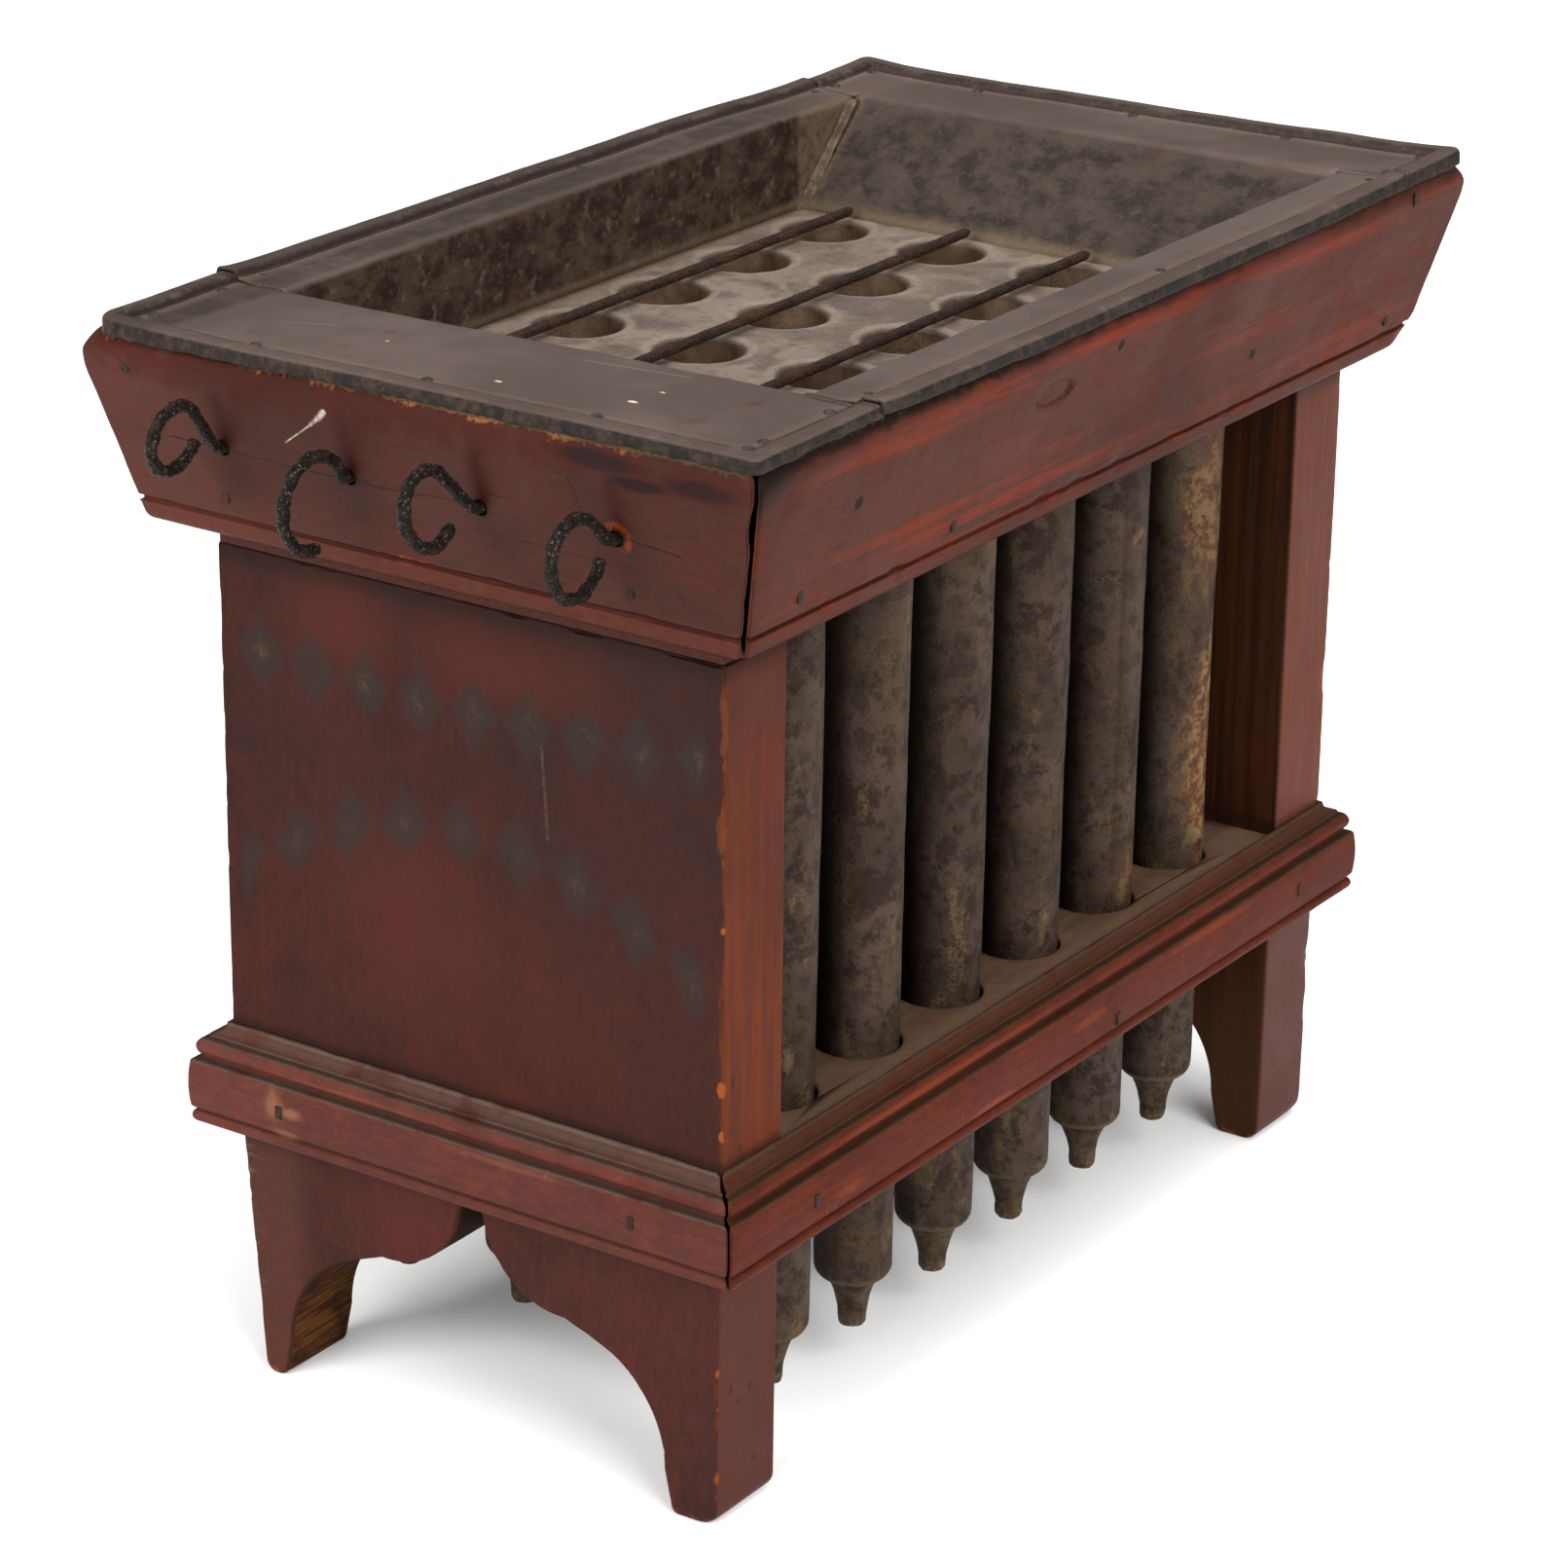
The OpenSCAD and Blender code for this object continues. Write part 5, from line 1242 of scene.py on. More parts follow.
def tray_end(name, s, fo, fb, node, seed, nose=None):
    """s is -1 for the near end and 1 for the far end."""
    E = edge_open()
    ne = len(E)
    x_in = fo + 0.2
    D, Z = E[:, 0], E[:, 1]
    # stations round the U; the corners are turned round a small radius
    rc = (9.5, 2.4) if s < 0 else (4.5, 3.2)
    lx, w = RL - x_in, 2 * RW
    t1 = np.linspace(0, 1, max(9, int(lx / 2.4)))
    t2 = np.linspace(0, 1, 90)
    rows, W, along = [], [], []

    def put(x, y, a, cd):
        x, y = x * np.ones(ne), y * np.ones(ne)
        dd, dz = lip_shift(np.full(ne, a + seed * 11.0), D, Z, seed)
        k = (D < 2.4) * dd
        h = np.hypot(x * 0 + 1, 0)
        nx = np.where(np.abs(RL - np.abs(x)) < 2.5 + D * 0, 1.0, 0.0)
        ny = np.where(np.abs(RW - np.abs(y)) < 2.5 + D * 0, 1.0, 0.0)
        q = np.maximum(np.hypot(nx, ny), 1.0)
        x, y = x - k * nx / q, y - k * ny / q * np.sign(y)
        rows.append(np.stack([s * x, y, press(s * x, y, Z) + dz * (D < 2.4) + wave(s * x, y)], 1))
        e = min(a, 2 * lx + w - a)
        W.append(np.maximum(crest(D, Z) * (1.0 + 0.6 * math.exp(-cd / 4)), 0.7 * math.exp(-e / 1.2)))

    for side_y, legs in ((1, 0), (-1, 1)):
        r_ = rc[0] if side_y > 0 else rc[1]
        keep_ = np.maximum(r_, D)
        leg = [(x_in + t * (RL - keep_ - x_in), side_y * (RW - D), t * lx) for t in t1]
        cor = []
        for ph in np.linspace(90, 0, 9)[1:-1]:
            c_, s_ = math.cos(math.radians(ph)), math.sin(math.radians(ph))
            cor.append((np.where(D < r_, RL - r_ + (r_ - D) * c_, RL - D), side_y * np.where(D < r_, RW - r_ + (r_ - D) * s_, RW - D), lx))
        if side_y > 0:
            for x, y, a in leg:
                put(x, y, a, lx - a)
            for x, y, a in cor:
                put(x, y, a, 0)
            k0, k1 = np.maximum(rc[0], D), np.maximum(rc[1], D)
            for t in t2:
                put(RL - D, (RW - k0) * (1 - t) - (RW - k1) * t, lx + t * w, min(t, 1 - t) * w)
        else:
            for x, y, a in reversed(cor):
                put(x, y, lx + w, 0)
            for x, y, a in reversed(leg):
                put(x, y, 2 * lx + w - a, lx - a)
    m = len(rows)
    V = [r for r in rows]
    F = grid_faces(m, ne, False)
    inner = [(j + 1) * ne - 1 for j in range(m)]
    base = np.vstack(rows)
    # flange plate: the U's inner line, then back along the opening
    ring = base[inner][:, :2]
    yw = OW - 0.1
    ys = np.linspace(-yw, yw, 61)
    xw = s * (fo + 2.2)
    jog = [(s * x_in, -(OW + 0.3))] if True else []
    back = [np.array([s * x_in, y]) for y in np.linspace(-(RW - EW - 3), -(OW + 0.3), 7)]
    back += [np.array([xw, -(OW + 0.25)])]
    back += [np.array([xw, y]) for y in ys]
    back += [np.array([xw, OW + 0.25])]
    back += [np.array([s * x_in, y]) for y in np.linspace(OW + 0.3, RW - EW - 3, 7)]
    lp = np.vstack([ring, np.array(back)])
    g = hexgrid(min(s * x_in, s * RL), max(s * x_in, s * RL), -RW, RW, 3.4)
    g = g[inside(g, lp)]
    g = g[gap_to(g, lp) > 2.2]
    P, T = fill([lp], g)
    off = len(base)
    zP = FZ + wave(P[:, 0], P[:, 1])
    plate = np.stack([P[:, 0], P[:, 1], zP], 1)
    nr = len(ring)
    ids = [inner[i] if i < nr else off + i - nr for i in range(len(P))]
    V = np.vstack([base, plate[nr:]])
    F += [tuple(ids[i] for i in t) for t in T]
    gp_end = np.abs(np.abs(P[nr:, 0]) - x_in)
    W = np.concatenate(W + [0.7 * np.exp(-gp_end / 1.0) * (np.abs(P[nr:, 1]) > OW)])
    # the wall
    sec = [(fo + 2.2 - 2.2 * math.sin(math.radians(t)), FZ - 2.2 + 2.2 * math.cos(math.radians(t))) for t in (0, 15, 30, 45, 60, 75, 90)]
    for u in np.linspace(0, 1, 15)[1:]:
        sec.append((fo + (fb - fo) * u, FZ - 2.2 + (FLZ - FZ + 2.2) * u))
    sec = np.array(sec)
    k = len(sec)
    off = len(V)
    wall, ww = [], []
    for y in ys:
        flat = np.clip((sec[:, 1] - (FZ - 6)) / 4, 0, 1)
        x = s * sec[:, 0]
        q = np.stack([x * 0 + sec[:, 1], np.full(k, y), np.zeros(k)], 1)
        bul = (1 - flat) * np.clip((sec[:, 1] - FLZ) / 6, 0, 1) * (0.6 * vnoise(q, 0.028, seed + 5) + 0.15 * vnoise(q, 0.12, seed + 6))
        wall.append(np.stack([x + s * bul, np.full(k, y), sec[:, 1] + wave(x, np.full(k, y)) * flat], 1))
        ww.append(0.45 * np.exp(-((sec[:, 1] - FZ + 0.5) / 0.7) ** 2))
    V = np.vstack([V] + wall)
    F += grid_faces(len(ys), k, False, off)
    W = np.concatenate([W] + ww)
    # make every face look up or into the tray
    out = []
    for f in F:
        p = V[list(f)]
        n = np.cross(p[1] - p[0], p[2] - p[0])
        cen = p.mean(0)
        ref = np.array([0, 0, 1.0])
        D_out = min(RL - abs(cen[0]), RW - abs(cen[1]))
        if D_out < 2.0 and cen[2] < RZ - 0.6 + wave([cen[0]], [cen[1]])[0]:
            ref = np.array([cen[0] * (RL - abs(cen[0]) < RW - abs(cen[1])), cen[1] * (RL - abs(cen[0]) >= RW - abs(cen[1])), 0]) / 100 + np.array([0, 0, 0.2])
        elif cen[2] < FZ - 1.5 and D_out > 8:
            ref = np.array([-s, 0, 0.2])
        out.append(tuple(f) if np.dot(n, ref) >= 0 else tuple(reversed(f)))
    ob = build(name, settle(V), out, "mold", [node], MT["tin"], dict(wear=W, edge=edge_dist(V)), 50, weld=0.02)
    return tin_solid(ob)


def tray_floor():
    cen = [(tx(c), ty(k)) for c in range(6) for k in range(4)]
    r0 = TR1 - 0.75
    rings = [r0, r0 + 0.25, r0 + 0.8, r0 + 1.7, r0 + 3.0, r0 + 4.6]
    na = 44
    x0, x1, y0, y1 = -ON + 2.6, FF + 0.6, -OW - 0.2, OW + 0.2
    lp = [(x, y0) for x in np.linspace(x0, x1, 61)[:-1]] + [(x1, y) for y in np.linspace(y0, y1, 43)[:-1]] + [(x, y1) for x in np.linspace(x1, x0, 61)[:-1]] + [(x0, y) for y in np.linspace(y1, y0, 43)[:-1]]
    holes = [[(c[0] + r0 * math.cos(2 * math.pi * i / na), c[1] + r0 * math.sin(2 * math.pi * i / na)) for i in range(na)] for c in cen]
    extra = [(c[0] + r * math.cos(2 * math.pi * (i + 0.5 * (q % 2)) / na), c[1] + r * math.sin(2 * math.pi * (i + 0.5 * (q % 2)) / na)) for c in cen for q, r in enumerate(rings[1:], 1) for i in range(na)]
    g = hexgrid(x0 + 2.5, x1 - 2.5, y0 + 2.5, y1 - 2.5, 3.2)
    d = np.min(np.hypot(g[:, 0][:, None] - np.array(cen)[:, 0], g[:, 1][:, None] - np.array(cen)[:, 1]), 1)
    g = g[d > rings[-1] + 1.6]
    P, T = fill([lp] + holes, np.vstack([np.array(extra), g]))
    d = np.min(np.hypot(P[:, 0][:, None] - np.array(cen)[:, 0], P[:, 1][:, None] - np.array(cen)[:, 1]), 1)
    P3 = np.stack([P[:, 0], P[:, 1], np.zeros(len(P))], 1)
    u = np.clip((d - r0) / 4.2, 0, 1)
    dip = -1.35 * (1 - np.sqrt(np.clip(1 - (1 - u) ** 2, 0, 1)))
    far = np.clip((d - TR1 - 1) / 9, 0, 1)
    edge = np.minimum(np.minimum(P[:, 0] - x0, x1 - P[:, 0]), np.minimum(P[:, 1] - y0, y1 - P[:, 1]))
    far = far * np.clip(edge / 8, 0, 1)
    z = FLZ + 0.35 + dip + far * (0.50 * vnoise(P3, 0.045, 61) + 0.22 * vnoise(P3, 0.11, 62)) + 0.10 * vnoise(P3, 0.3, 63)
    V = np.stack([P[:, 0], P[:, 1], z], 1)
    ob = build("tray_floor_sheet", V, T, "mold", ["tray_floor"], MT["floor"], dict(wear=np.zeros(len(V))), 60)
    return tin_solid(ob, 0.7)


def solder():
    V, F = [], []
    zt = FZ - 3.2
    for sx_, sy_ in ((1, 1), (1, -1), (-1, 1), (-1, -1)):
        a = np.array([(FF if sx_ > 0 else -ON + 3.2), sy_ * OW, FLZ])
        b = np.array([(FF + (OF - FF) * (zt - FLZ) / (FZ - 2.2 - FLZ) if sx_ > 0 else -ON + 3.2 - 3.2 * (zt - FLZ) / (FZ - 2.2 - FLZ)), sy_ * OW, zt])
        X, Y = np.array([-sx_, 0, 0.0]), np.array([0, -sy_, 0.0])
        m, na = 44, 13
        o = len(V)
        for j in range(m):
            t = j / (m - 1)
            p = a + (b - a) * t
            q = np.array([[0, 0, t * 34.0 + 60 * (sx_ + 2 * sy_)]])
            wdt = (2.3 + 0.4 * vnoise(q, 0.07, 9)[0] + 0.10 * vnoise(q, 0.4, 10)[0]) * (0.75 if j in (0, m - 1) else 1)
            for i in range(na):
                th = math.pi / 2 * i / (na - 1)
                c, s_ = math.cos(th), math.sin(th)
                rad = wdt * (0.62 + 0.38 * abs(math.cos(2 * th)) ** 1.4) * (1 + 0.04 * vnoise(np.array([[i * 1.7, t * 40, sx_ + sy_ * 3.0]]), 0.3, 12)[0])
                V.append(p + X * c * rad + Y * s_ * rad)
            V.append(p - X * 0.5 - Y * 0.5)
        k = na + 1
        F0 = grid_faces(m, k, True, o)
        F0 += [tuple(o + i for i in range(k)), tuple(o + (m - 1) * k + i for i in reversed(range(k)))]
        Va = np.array(V)
        F += fix_normals(Va, F0)
    return build("tray_corner_solder", np.array(V), F, "mold", ["corner_solder"], MT["solder"], dict(wear=np.zeros(len(V))), 60)


# ---------------------------------------------------------------- tubes
def tube(name, r, c, node):
    z = TIP
    top = FLZ - 1.2
    seed = r * 6 + c + 3
    o = [(0.9, z + 0.35), (1.3, z), (2.7, z), (3.4, z + 0.35), (3.8, z + 1.1), (3.95, z + 3), (4.0, z + 4.8), (4.3, z + 6.6), (4.8, z + 8.8), (5.5, z + 11.0), (6.3, z + 13.0), (6.9, z + 14.3), (7.15, z + 14.75), (7.35, z + 14.9),
         (7.75, z + 15.0), (8.2, z + 15.15), (8.7, z + 15.45), (9.6, z + 16.2), (10.3, z + 17.1), (10.75, z + 18.1), (TR0, z + 19.2)]
    o += [(TR0 + (TR1 - TR0) * (q - z - 19.2) / (top - z - 19.2), q) for q in np.linspace(z + 19.2, top, 52)[1:]]
    no = len(o)
    i_ = [(TR1 - 0.25, top + 0.25), (TR1 - 0.7, top + 0.25), (TR1 - TT, top)]
    i_ += [(TR1 - TT - (TR1 - TR0) * (top - q) / (top - z - 19), q) for q in np.linspace(top, z + 19.6, 22)[1:]]
    i_ += [(TR0 - TT - 1, z + 17.5), (6.2, z + 15.6), (5.0, z + 13.8), (3.0, z + 9.5), (0.9, z + 6), (0.9, z + 2)]
    prof = np.array(o + i_)
    n = 48
    m = len(prof)
    th = 2 * np.pi * np.arange(n) / n
    seam_a = math.radians(35 + 137.5 * seed)
    V = np.zeros((m, n, 3))
    seam = np.zeros((m, n))
    inner = np.zeros((m, n))
    C = np.array([tx(c), ty(r)])
    for j, (R, Z) in enumerate(prof):
        P = np.stack([np.cos(th) * 11, np.sin(th) * 11, np.full(n, Z)], 1) + np.array([C[0] * 3, C[1] * 3, 0])
        body = np.clip((Z - z - 16) / 6, 0, 1) * np.clip((FLZ - 6 - Z) / 8, 0, 1)
        d = body * (0.26 * vnoise(P, 0.03, seed) + 0.16 * vnoise(P, 0.085, seed + 1)) + 0.05 * vnoise(P, 0.4, seed + 2) * (R > 2)
        low = np.clip((z + 17 - Z) / 3, 0, 1) * (R > 1.0)
        d = d + low * (0.26 * vnoise(P, 0.22, seed + 3) + 0.14 * vnoise(P, 0.6, seed + 4))
        a = np.angle(np.exp(1j * (th - seam_a)))
        if j < no:
            sm = np.exp(-(a / 0.13) ** 2) * body
            d = d + 0.28 * sm
            seam[j] = np.exp(-((a - 0.16) / 0.06) ** 2) * body
        else:
            inner[j] = 1.0
        rr = R + d
        V[j] = np.stack([C[0] + rr * np.cos(th), C[1] + rr * np.sin(th), np.full(n, Z)], 1)
    inner[no] = 0
    V = V.reshape(-1, 3)
    F = grid_faces(m, n, True)
    F += [((m - 1) * n + i, (m - 1) * n + (i + 1) % n, (i + 1) % n, i) for i in range(n)]
    F = fix_normals(V, F)
    return build(name, V, F, "mold", [node], MT["tube"], dict(seam=seam.ravel(), inner=inner.ravel()), 42)


# ---------------------------------------------------------------- rods
def rod(k):
    g = RINGS[k]
    cx, cz, R = -g[0], g[1], g[2]
    d = math.hypot(g[0], g[1])
    if d > R + 0.5:
        a0 = math.degrees(math.atan2(g[1], g[0])) + math.degrees(math.asin(R / d)) + 90
    else:
        a0 = 180 - math.degrees(math.atan2(-g[1], g[0]))
    a1 = g[3]
    p0 = np.array([cx - R * math.cos(math.radians(a0)), 0, cz + R * math.sin(math.radians(a0))])
    tw = math.radians(g[4])
    ring = [np.array([cx - R * math.cos(math.radians(a)), 0, cz + R * math.sin(math.radians(a))]) for a in np.linspace(a0, a1, int(abs(a0 - a1) / 3.5) + 2)]
    shank = [p0 * t for t in np.linspace(0, 1, 8)] if np.linalg.norm(p0) > 0.8 else [p0 * 0]
    bent = shank[:-1] + ring if len(shank) > 1 else ring
    bent = [np.array([p[0], -p[2] * math.sin(tw), p[2] * math.cos(tw)]) for p in bent]
    straight = [np.array([x, 0, 0]) for x in np.linspace(REND - RX0, 0, 150)]
    path = np.array(straight[:-1] + bent)
    # ease the corner at the bend
    q = path.copy()
    nb = len(straight) - 1
    for _ in range(2):
        for i in range(nb - 1, nb + 3):
            q[i] = (path[i - 1] + 2 * path[i] + path[i + 1]) / 4
        path = q.copy()
    far = np.arange(len(path)) < nb - 6
    P1 = path.copy()
    path[:, 1] += np.where(far, 0.10 * vnoise(P1, 0.03, 71 + k), 0)
    T = np.gradient(path, axis=0)
    T /= np.linalg.norm(T, axis=1)[:, None]
    m, n = len(path), 22
    # a frame carried along without twist
    U = np.zeros_like(T)
    U[0] = np.array([0, 1.0, 0])
    for i in range(1, m):
        u = U[i - 1] - T[i] * np.dot(U[i - 1], T[i])
        U[i] = u / np.linalg.norm(u)
    Wv = np.cross(T, U)
    L = np.concatenate([[0], np.cumsum(np.linalg.norm(np.diff(path, axis=0), axis=1))])
    V = []
    for i in range(m):
        th = 2 * np.pi * np.arange(n) / n
        dirv = np.outer(np.cos(th), U[i]) + np.outer(np.sin(th), Wv[i])
        q = path[i] + dirv * WR + np.array([0, ty(k) * 2.0, 0])
        onr = np.clip((L[i] - (REND - RX0) + 4) / 8, 0, 1)
        rr = WR * (1 + 0.08 * onr) + (0.06 + 0.14 * onr) * vnoise(q, 0.42, 30 + k) + (0.03 + 0.34 * onr) * vnoise(q, 1.05, 40 + k)
        if i == 0:
            rr = rr * 0.55
        if i == m - 1:
            rr = rr * 0.6
        V.append(path[i] + dirv * rr[:, None])
    V = np.vstack(V)
    V[:, 0] += RX0
    V[:, 1] += ty(k)
    V[:, 2] += RODZ
    F = grid_faces(m, n, True)
    F += [tuple(range(n)), tuple((m - 1) * n + i for i in reversed(range(n)))]
    F = fix_normals(V, F)
    return build(f"wick_rod_{k + 1}_wire", V, F, f"rod_{k + 1}", [f"wick_rod_{k + 1}"], MT["iron"], None, 60)


# ---------------------------------------------------------------- the pieces
MT = dict(
    end_n=paint("paint_end_near", "z", (S(90, 50, 46), S(72, 45, 43), S(108, 52, 40), S(146, 82, 40)), feat_end(-1), 3, 0.5, 0.4, gain=(0.69, 0.62, 0.565), spec=0.04),
    end_f=paint("paint_end_far", "z", (S(104, 66, 57), S(84, 52, 46), S(116, 66, 52), S(168, 96, 44)), feat_end(1), 13, 0.46, 0.5, gain=(0.72, 0.66, 0.60), spec=0.08),
    hop_near=paint("paint_hopper_near", "y", (S(90, 63, 56), S(78, 53, 48), S(104, 52, 40), S(178, 108, 56)), feat_hopper("near"), 23, 0.46, 0.8, gain=(0.69, 0.505, 0.465), spec=0.04),
    hop_front=paint("paint_hopper_front", "x", (S(112, 76, 69), S(96, 60, 52), S(128, 64, 42), S(186, 104, 52)), feat_hopper("front"), 33, 0.46, 0.8, 1.0, gain=(0.59, 0.445, 0.39), spec=0.025),
    hop_far=paint("paint_hopper_far", "y", (S(92, 60, 53), S(78, 50, 45), S(106, 54, 42), S(170, 96, 46)), feat_hopper("far"), 43, 0.42, gain=(0.7, 0.62, 0.6), spec=0.1),
    hop_back=paint("paint_hopper_back", "x", (S(96, 62, 55), S(82, 52, 47), S(110, 56, 42), S(170, 96, 46)), feat_hopper("back"), 53, 0.42, gain=(0.7, 0.62, 0.6), spec=0.1),
    mou_near=paint("paint_moulding_near", "y", (S(100, 61, 53), S(84, 50, 44), S(112, 60, 46), S(164, 100, 56)), feat_mould("near"), 63, 0.48, 0.3, gain=(1.06, 0.84, 0.78), spec=0.05),
    mou_front=paint("paint_moulding_front", "x", (S(102, 56, 43), S(86, 46, 36), S(124, 62, 38), S(184, 106, 54)), feat_mould("front"), 73, 0.46, 0.22, 0.7, gain=(0.90, 0.58, 0.41), spec=0.03),
    mou_far=paint("paint_moulding_far", "y", (S(98, 58, 49), S(84, 48, 41), S(110, 58, 44), S(164, 96, 50)), feat_mould("far"), 83, 0.44, 0.4, gain=(0.9, 0.74, 0.68), spec=0.08),
    mou_back=paint("paint_moulding_back", "x", (S(98, 58, 49), S(84, 48, 41), S(110, 58, 44), S(164, 96, 50)), feat_mould("back"), 93, 0.44, 0.4, gain=(0.8, 0.56, 0.46), spec=0.08),
    tin=mat_tin(), floor=mat_floor_tin(), tube=mat_tube(), iron=mat_iron(), nail=mat_nail(), solder=mat_solder(), shelf=mat_shelf(), tack=mat_tack())


def under(name, seed):
    """Unpainted softwood, brown with age, under the tray."""
    s = Mat(name)
    g1 = s.noise((0.012, 0.35, 0.35), 4, 0.6, seed)
    g2 = s.noise((0.05, 1.6, 1.6), 3, 0.6, seed + 1)
    fine = s.noise(1.6, 5, 0.7, seed + 2)
    c = s.mix(s.sm(g1, 0.38, 0.64), S(92, 60, 38), S(62, 40, 26))
    c = s.mix(s.mul(s.sm(g2, 0.5, 0.7), 0.5), c, S(40, 27, 19))
    edge = s.mul(s.mx(s.sm(s.m("ABSOLUTE", s.y), 79.8, 80.4), s.sm(s.m("ABSOLUTE", s.x), BL - 0.7, BL - 0.4)), s.sm(s.normal()[2], -0.9, -0.6))
    c = s.mix(s.mul(edge, 0.92), c, s.mix(s.sm(g2, 0.4, 0.62), S(88, 44, 34), S(62, 34, 28)))
    c = s.mix(s.mul(s.sm(fine, 0.6, 0.8), 0.3), c, S(112, 92, 74))
    return s.done(c, s.add(0.76, s.mul(s.sub(fine, 0.5), 0.3)), s.bump(s.add(s.mul(g2, 0.9), fine), 0.6, 0.0004))


MT["under"] = under("under_wood", 5)


def bottom_plate():
    """The tray's bottom board: its lower edge is chamfered back to the end boards."""
    top, low = HZ0 - 0.02, BH
    def frame_loop(x1, y1):
        n = (34, 20)
        return np.array([(x, -y1) for x in np.linspace(-x1, x1, n[0] + 1)[:-1]] + [(x1, y) for y in np.linspace(-y1, y1, n[1] + 1)[:-1]]
                        + [(x, y1) for x in np.linspace(x1, -x1, n[0] + 1)[:-1]] + [(-x1, y) for y in np.linspace(y1, -y1, n[1] + 1)[:-1]])
    A, B = frame_loop(BL - 0.35, 80.6), frame_loop(BL + 3.2, 88.6)
    na = 32
    cen = [(tx(c), ty(k)) for c in range(6) for k in range(4)]
    holes = [np.array([(c[0] + 13.5 * math.cos(2 * math.pi * i / na), c[1] + 13.5 * math.sin(2 * math.pi * i / na)) for i in range(na)]) for c in cen]
    P, T = fill([A] + holes, np.zeros((0, 2)))
    n, nl = len(P), len(A)
    V = [np.column_stack([P, np.full(n, low)]), np.column_stack([P, np.full(n, top)])]
    F = [tuple(reversed(t)) for t in T] + [tuple(i + n for i in t) for t in T]
    o = 2 * n
    prof = [(A, low), (A * 1.0, low + 2.6), ((A + B) / 2, low + 3.4), (B - np.sign(B) * 0.5, low + 4.2), (B, low + 5.0), (B, top)]
    for lp, z in prof[1:]:
        V.append(np.column_stack([lp, np.full(nl, z)]))
    ring = [list(range(nl))] + [list(range(o + k * nl, o + (k + 1) * nl)) for k in range(len(prof) - 1)]
    for a, b in zip(ring, ring[1:]):
        F += [(a[i], a[(i + 1) % nl], b[(i + 1) % nl], b[i]) for i in range(nl)]
    last = ring[-1]
    F += [(last[i], last[(i + 1) % nl], n + (i + 1) % nl, n + i) for i in range(nl)]
    h0 = nl
    for _ in cen:
        F += [(h0 + (i + 1) % na, h0 + i, n + h0 + i, n + h0 + (i + 1) % na) for i in range(na)]
        h0 += na
    V = np.vstack(V)
    F = fix_normals(V, F)
    return build("bottom_board_plate", V, F, "mold", ["bottom_board"], MT["under"], None, 30)

end_board("end_board_near_board", -1, MT["end_n"], 5)
end_board("end_board_far_board", 1, MT["end_f"], 6)

ml = BL - BW
mitred("moulding_near_length", mould_loop(BL), ml, 1.2, 0.3, 180, "moulding_near", MT["mou_near"], 21, 0.3, 1.1, 2.0, 0.5, chip=0.45)
mitred("moulding_far_length", mould_loop(BL), ml, 0.3, 0.3, 0, "moulding_far", MT["mou_far"], 22, 0.3, 1.1, 2.4, 0.5, chip=0.45)
mitred("moulding_front_length", mould_loop(BW), -ml, 0.3, 0.6, -90, "moulding_front", MT["mou_front"], 23, 0.3, 1.1, 2.2, 0.5, chip=0.45)
mitred("moulding_back_length", mould_loop(BW), -ml, 0.3, 0.3, 90, "moulding_back", MT["mou_back"], 24, 0.3, 1.1, 3.0, 0.5, chip=0.45)


def dent(V):
    """The small oval mark struck into the front board, and a few bruises."""
    out = hop_out(HW, V[:, 2]) + V[:, 1] < 1.6
    d = np.sqrt(((V[:, 0] + 42.5) / 9.6) ** 2 + ((V[:, 2] - 287.3) / 3.5) ** 2)
    k = np.clip((1.05 - d) / 0.22, 0, 1)
    V[:, 1] += 0.75 * k * k * (3 - 2 * k) * out
    for x, z, a, b, q in ((-112, 268, 7, 2.5, 0.5), (40, 289, 9, 2, 0.4), (95, 259, 6, 3, 0.45), (-168, 291, 5, 6, 0.5)):
        dd = ((V[:, 0] - x) / a) ** 2 + ((V[:, 2] - z) / b) ** 2
        V[:, 1] += q * np.exp(-dd) * out
    return V


hl = HL - HW
def ragged(V):
    """The end grain at the open mitre is broken."""
    m = np.clip((-V[:, 1] - 92) / 6, 0, 1)
    P = np.stack([V[:, 2], V[:, 0], np.zeros(len(V))], 1)
    V[:, 1] += m * (0.55 * vnoise(P, 0.12, 81) + 0.40 * vnoise(P, 0.4, 82) + 0.35)
    return V


hn = mitred("hopper_near_board", hop_loop(HL), hl, 1.45, 0.3, 180, "hopper_board_near", MT["hop_near"], 31, 0.5, 1.3, 1.9, 0.9, ragged, chip=0.7)
mitred("hopper_far_board", hop_loop(HL), hl, 0.3, 0.3, 0, "hopper_board_far", MT["hop_far"], 32, 0.5, 1.3, 2.6, 0.9, chip=0.7)
mitred("hopper_front_board", hop_loop(HW), -hl, 0.3, 1.45, -90, "hopper_board_front", MT["hop_front"], 33, 0.5, 1.2, 1.5, 0.9, dent, chip=0.7)
mitred("hopper_back_board", hop_loop(HW), -hl, 0.3, 0.3, 90, "hopper_board_back", MT["hop_back"], 34, 0.5, 1.3, 2.6, 0.9, chip=0.7)
drill(hn, [ty(k) for k in range(4)], 4.2, -200, -150, RODZ)

tray_side("tray_front_sheet", -90, "tray_side_front", 3)
tray_side("tray_back_sheet", 90, "tray_side_back", 5)
te = tray_end("tray_near_sheet", -1, ON, ON - 3.2, "tray_end_near", 7)
drill(te, [ty(k) for k in range(4)], 3.9, -135, -118, RODZ)
tray_end("tray_far_sheet", 1, OF, FF, "tray_end_far", 9)
tray_floor()
solder()
for r in range(4):
    for c in range(6):
        tube("tube_%s%d_tin" % ("abcd"[r], c + 1), r, c, "tube_%s%d" % ("abcd"[r], c + 1))
for k in range(4):
    rod(k)


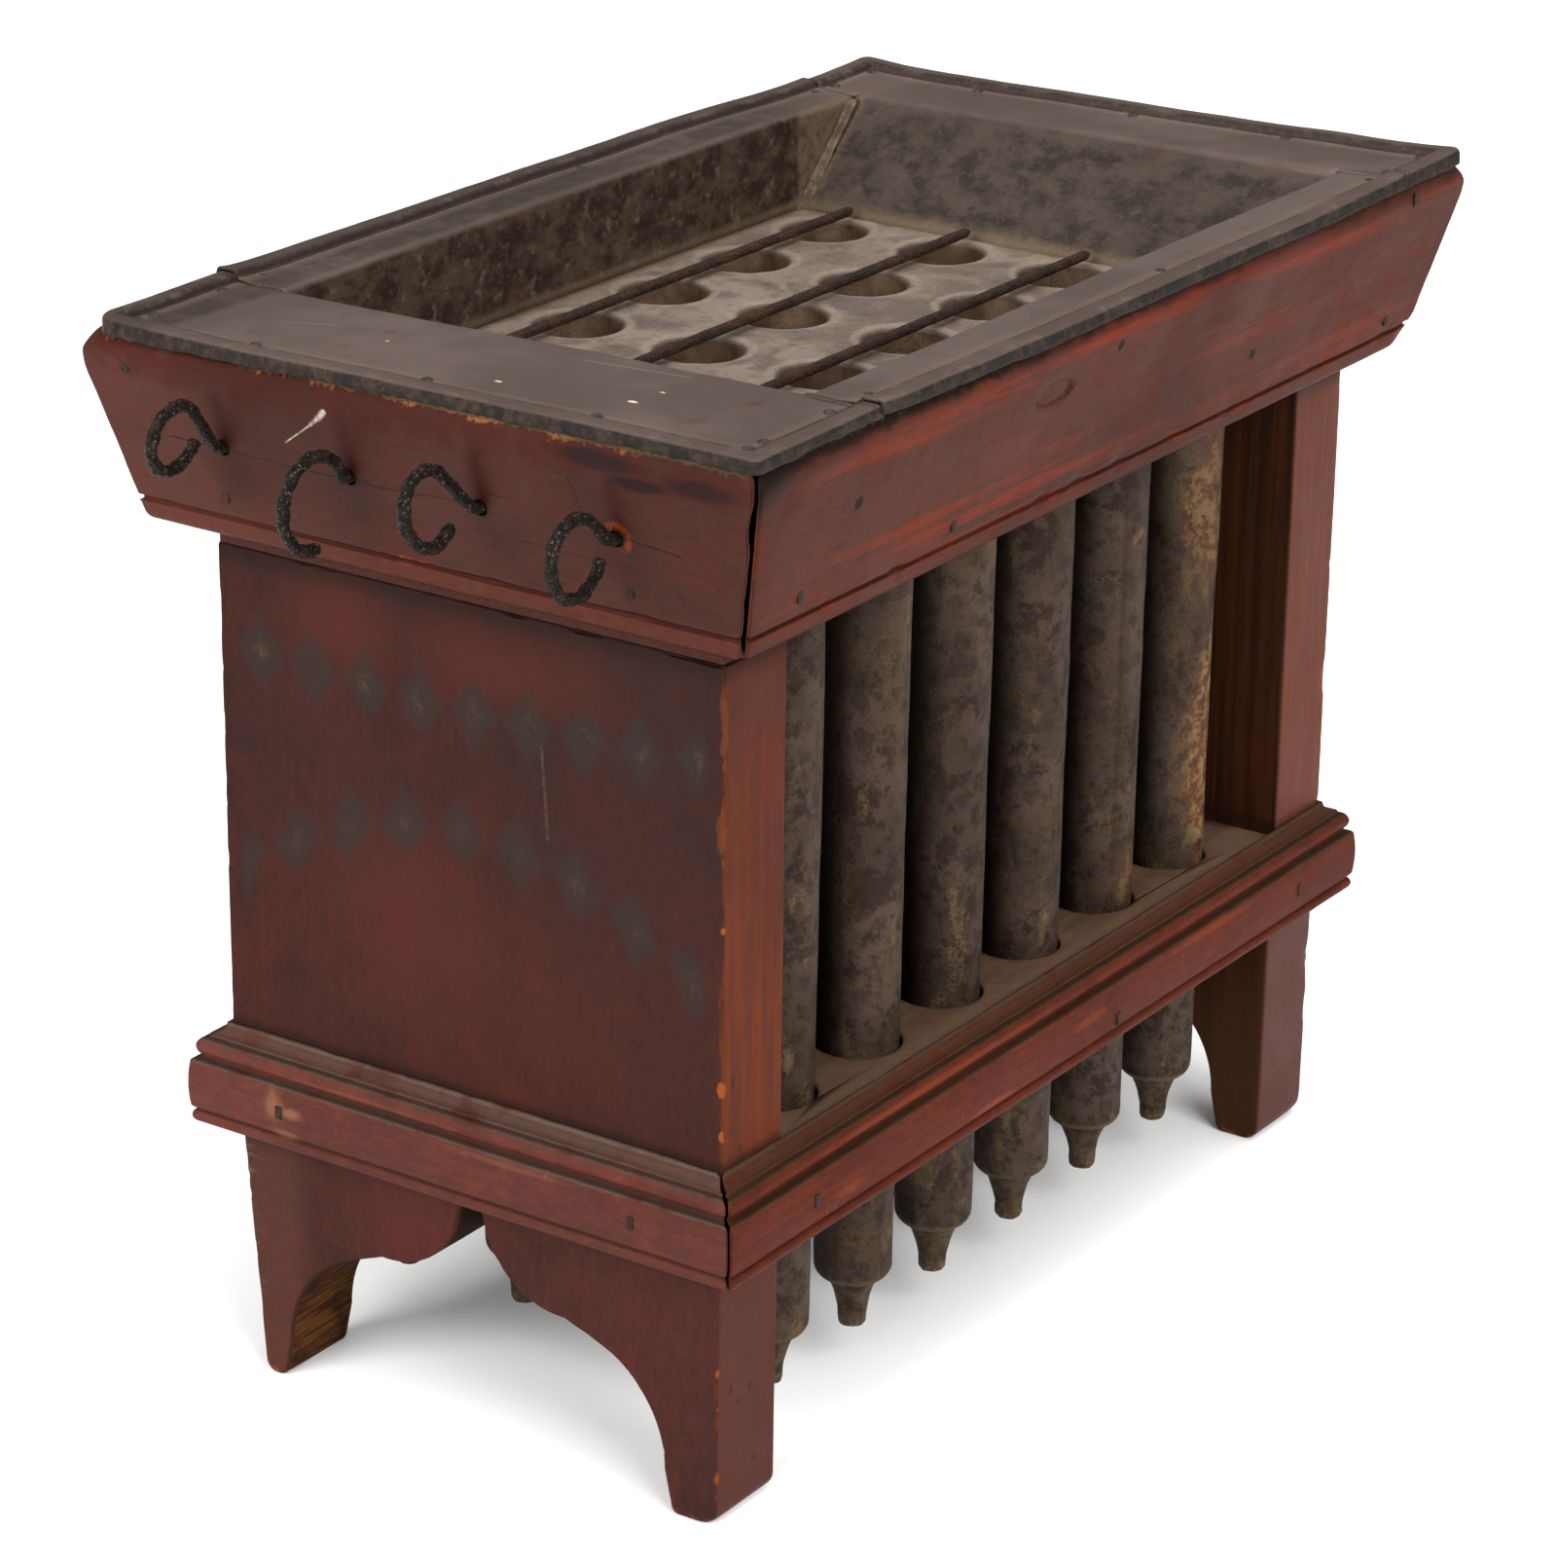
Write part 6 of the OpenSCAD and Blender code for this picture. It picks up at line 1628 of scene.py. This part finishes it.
def keep_node(node, mat, width, seg=2, angle=35, weld=0.02):
    """A CAD node that stays, with its corners eased and its own material."""
    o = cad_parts[node]
    o.data.materials.clear()
    o.data.materials.append(mat)
    for p in o.data.polygons:
        p.use_smooth = True
    w = o.modifiers.new("weld", "WELD")
    w.merge_threshold = weld / 1000
    b = o.modifiers.new("ease", "BEVEL")
    b.width = width / 1000
    b.segments = seg
    b.limit_method = "ANGLE"
    b.angle_limit = math.radians(angle)
    b.harden_normals = False
    return o


keep_node("shelf_board", MT["shelf"], 0.7)
bottom_plate()
keep_node("hopper_nails", MT["nail"], 0.35)
keep_node("moulding_nails", MT["nail"], 0.35)


def rim_tacks():
    """The tacks follow the tin they hold down."""
    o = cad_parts["rim_nails"]
    me = o.data
    co = np.array([tuple(o.matrix_world @ v.co) for v in me.vertices]) * 1000
    co[:, 0] -= SX
    F = [tuple(p.vertices) for p in me.polygons]
    lab = list(range(len(co)))
    def find(i):
        while lab[i] != i:
            lab[i] = lab[lab[i]]
            i = lab[i]
        return i
    for f in F:
        for i in f[1:]:
            lab[find(i)] = find(f[0])
    grp = np.array([find(i) for i in range(len(co))])
    # parts of one tack lie within a millimetre or two of each other
    for g in np.unique(grp):
        m = grp == g
        cx, cy = co[m, 0].mean(), co[m, 1].mean()
        q = settle(np.array([[cx, cy, FZ]]))[0]
        co[m, 0] += q[0] - cx
        co[m, 1] += q[1] - cy
        co[m, 2] += q[2] - FZ + wave([q[0]], [q[1]])[0]
    return build("rim_tack_heads", co, F, "mold", ["rim_nails"], MT["tack"], None, 34)


rim_tacks()

# ---------------------------------------------------------------- camera, floor, light
pos = Vector((-1115.97 + SX, -743.50, 668.01)) / 1000
yaw, pitch, roll, lens = 0.5937645680682091, -0.3741110543675482, 0.011818982432949996, 115.84116681774354
fwd = Vector((math.cos(pitch) * math.cos(yaw), math.cos(pitch) * math.sin(yaw), math.sin(pitch)))
right = fwd.cross(Vector((0, 0, 1))).normalized()
up = right.cross(fwd)
r2 = right * math.cos(roll) + up * math.sin(roll)
u2 = -right * math.sin(roll) + up * math.cos(roll)
cd = bpy.data.cameras.new("camera")
cd.sensor_fit = "AUTO"
cd.sensor_width = 36
cd.lens = lens
cd.clip_start, cd.clip_end = 0.05, 60
cam = bpy.data.objects.new("camera", cd)
cam.matrix_world = Matrix(((r2.x, u2.x, -fwd.x, pos.x), (r2.y, u2.y, -fwd.y, pos.y), (r2.z, u2.z, -fwd.z, pos.z), (0, 0, 0, 1)))
scene.collection.objects.link(cam)
scene.camera = cam

fm = bpy.data.meshes.new("floor")
fm.from_pydata([(-9, -9, 0), (9, -9, 0), (9, 9, 0), (-9, 9, 0)], [], [(0, 1, 2, 3)])
fm.update()
floor = bpy.data.objects.new("floor", fm)
scene.collection.objects.link(floor)
fmat = bpy.data.materials.new("floor_paper")
fmat.use_nodes = True
fb_ = fmat.node_tree.nodes["Principled BSDF"]
fb_.inputs["Base Color"].default_value = (0.92, 0.92, 0.92, 1)
fb_.inputs["Roughness"].default_value = 0.9
fb_.inputs["Specular IOR Level"].default_value = 0.1
fm.materials.append(fmat)

world = bpy.data.worlds.new("studio")
scene.world = world
world.use_nodes = True
bg = world.node_tree.nodes["Background"]
bg.inputs[0].default_value = (1, 0.995, 0.985, 1)
wt = world.node_tree
tcw = wt.nodes.new("ShaderNodeTexCoord")
dot = wt.nodes.new("ShaderNodeVectorMath")
dot.operation = "DOT_PRODUCT"
dot.inputs[1].default_value = (-0.55, -0.62, 0.56)
wt.links.new(tcw.outputs["Generated"], dot.inputs[0])
rng = wt.nodes.new("ShaderNodeMapRange")
rng.inputs[1].default_value, rng.inputs[2].default_value, rng.inputs[3].default_value, rng.inputs[4].default_value = -0.7, 0.8, 0.18, 1.05
wt.links.new(dot.outputs["Value"], rng.inputs[0])
wt.links.new(rng.outputs[0], bg.inputs[1])


def area(name, loc, target, size, power, color=(1, 1, 1)):
    ld = bpy.data.lights.new(name, "AREA")
    ld.shape = "RECTANGLE"
    ld.size, ld.size_y = size
    ld.energy = power
    ld.color = color
    ob = bpy.data.objects.new(name, ld)
    ob.location = loc
    ob.rotation_mode = "QUATERNION"
    ob.rotation_quaternion = (Vector(target) - Vector(loc)).to_track_quat("-Z", "Y")
    scene.collection.objects.link(ob)
    return ob


area("key", (-0.9, -2.0, 1.5), (0, 0, 0.15), (1.5, 1.2), 58)
area("fill", (-2.0, 0.5, 1.1), (0, 0, 0.15), (1.3, 1.0), 50)
area("top", (0.3, -0.3, 2.2), (0, 0, 0.2), (1.5, 1.5), 34)
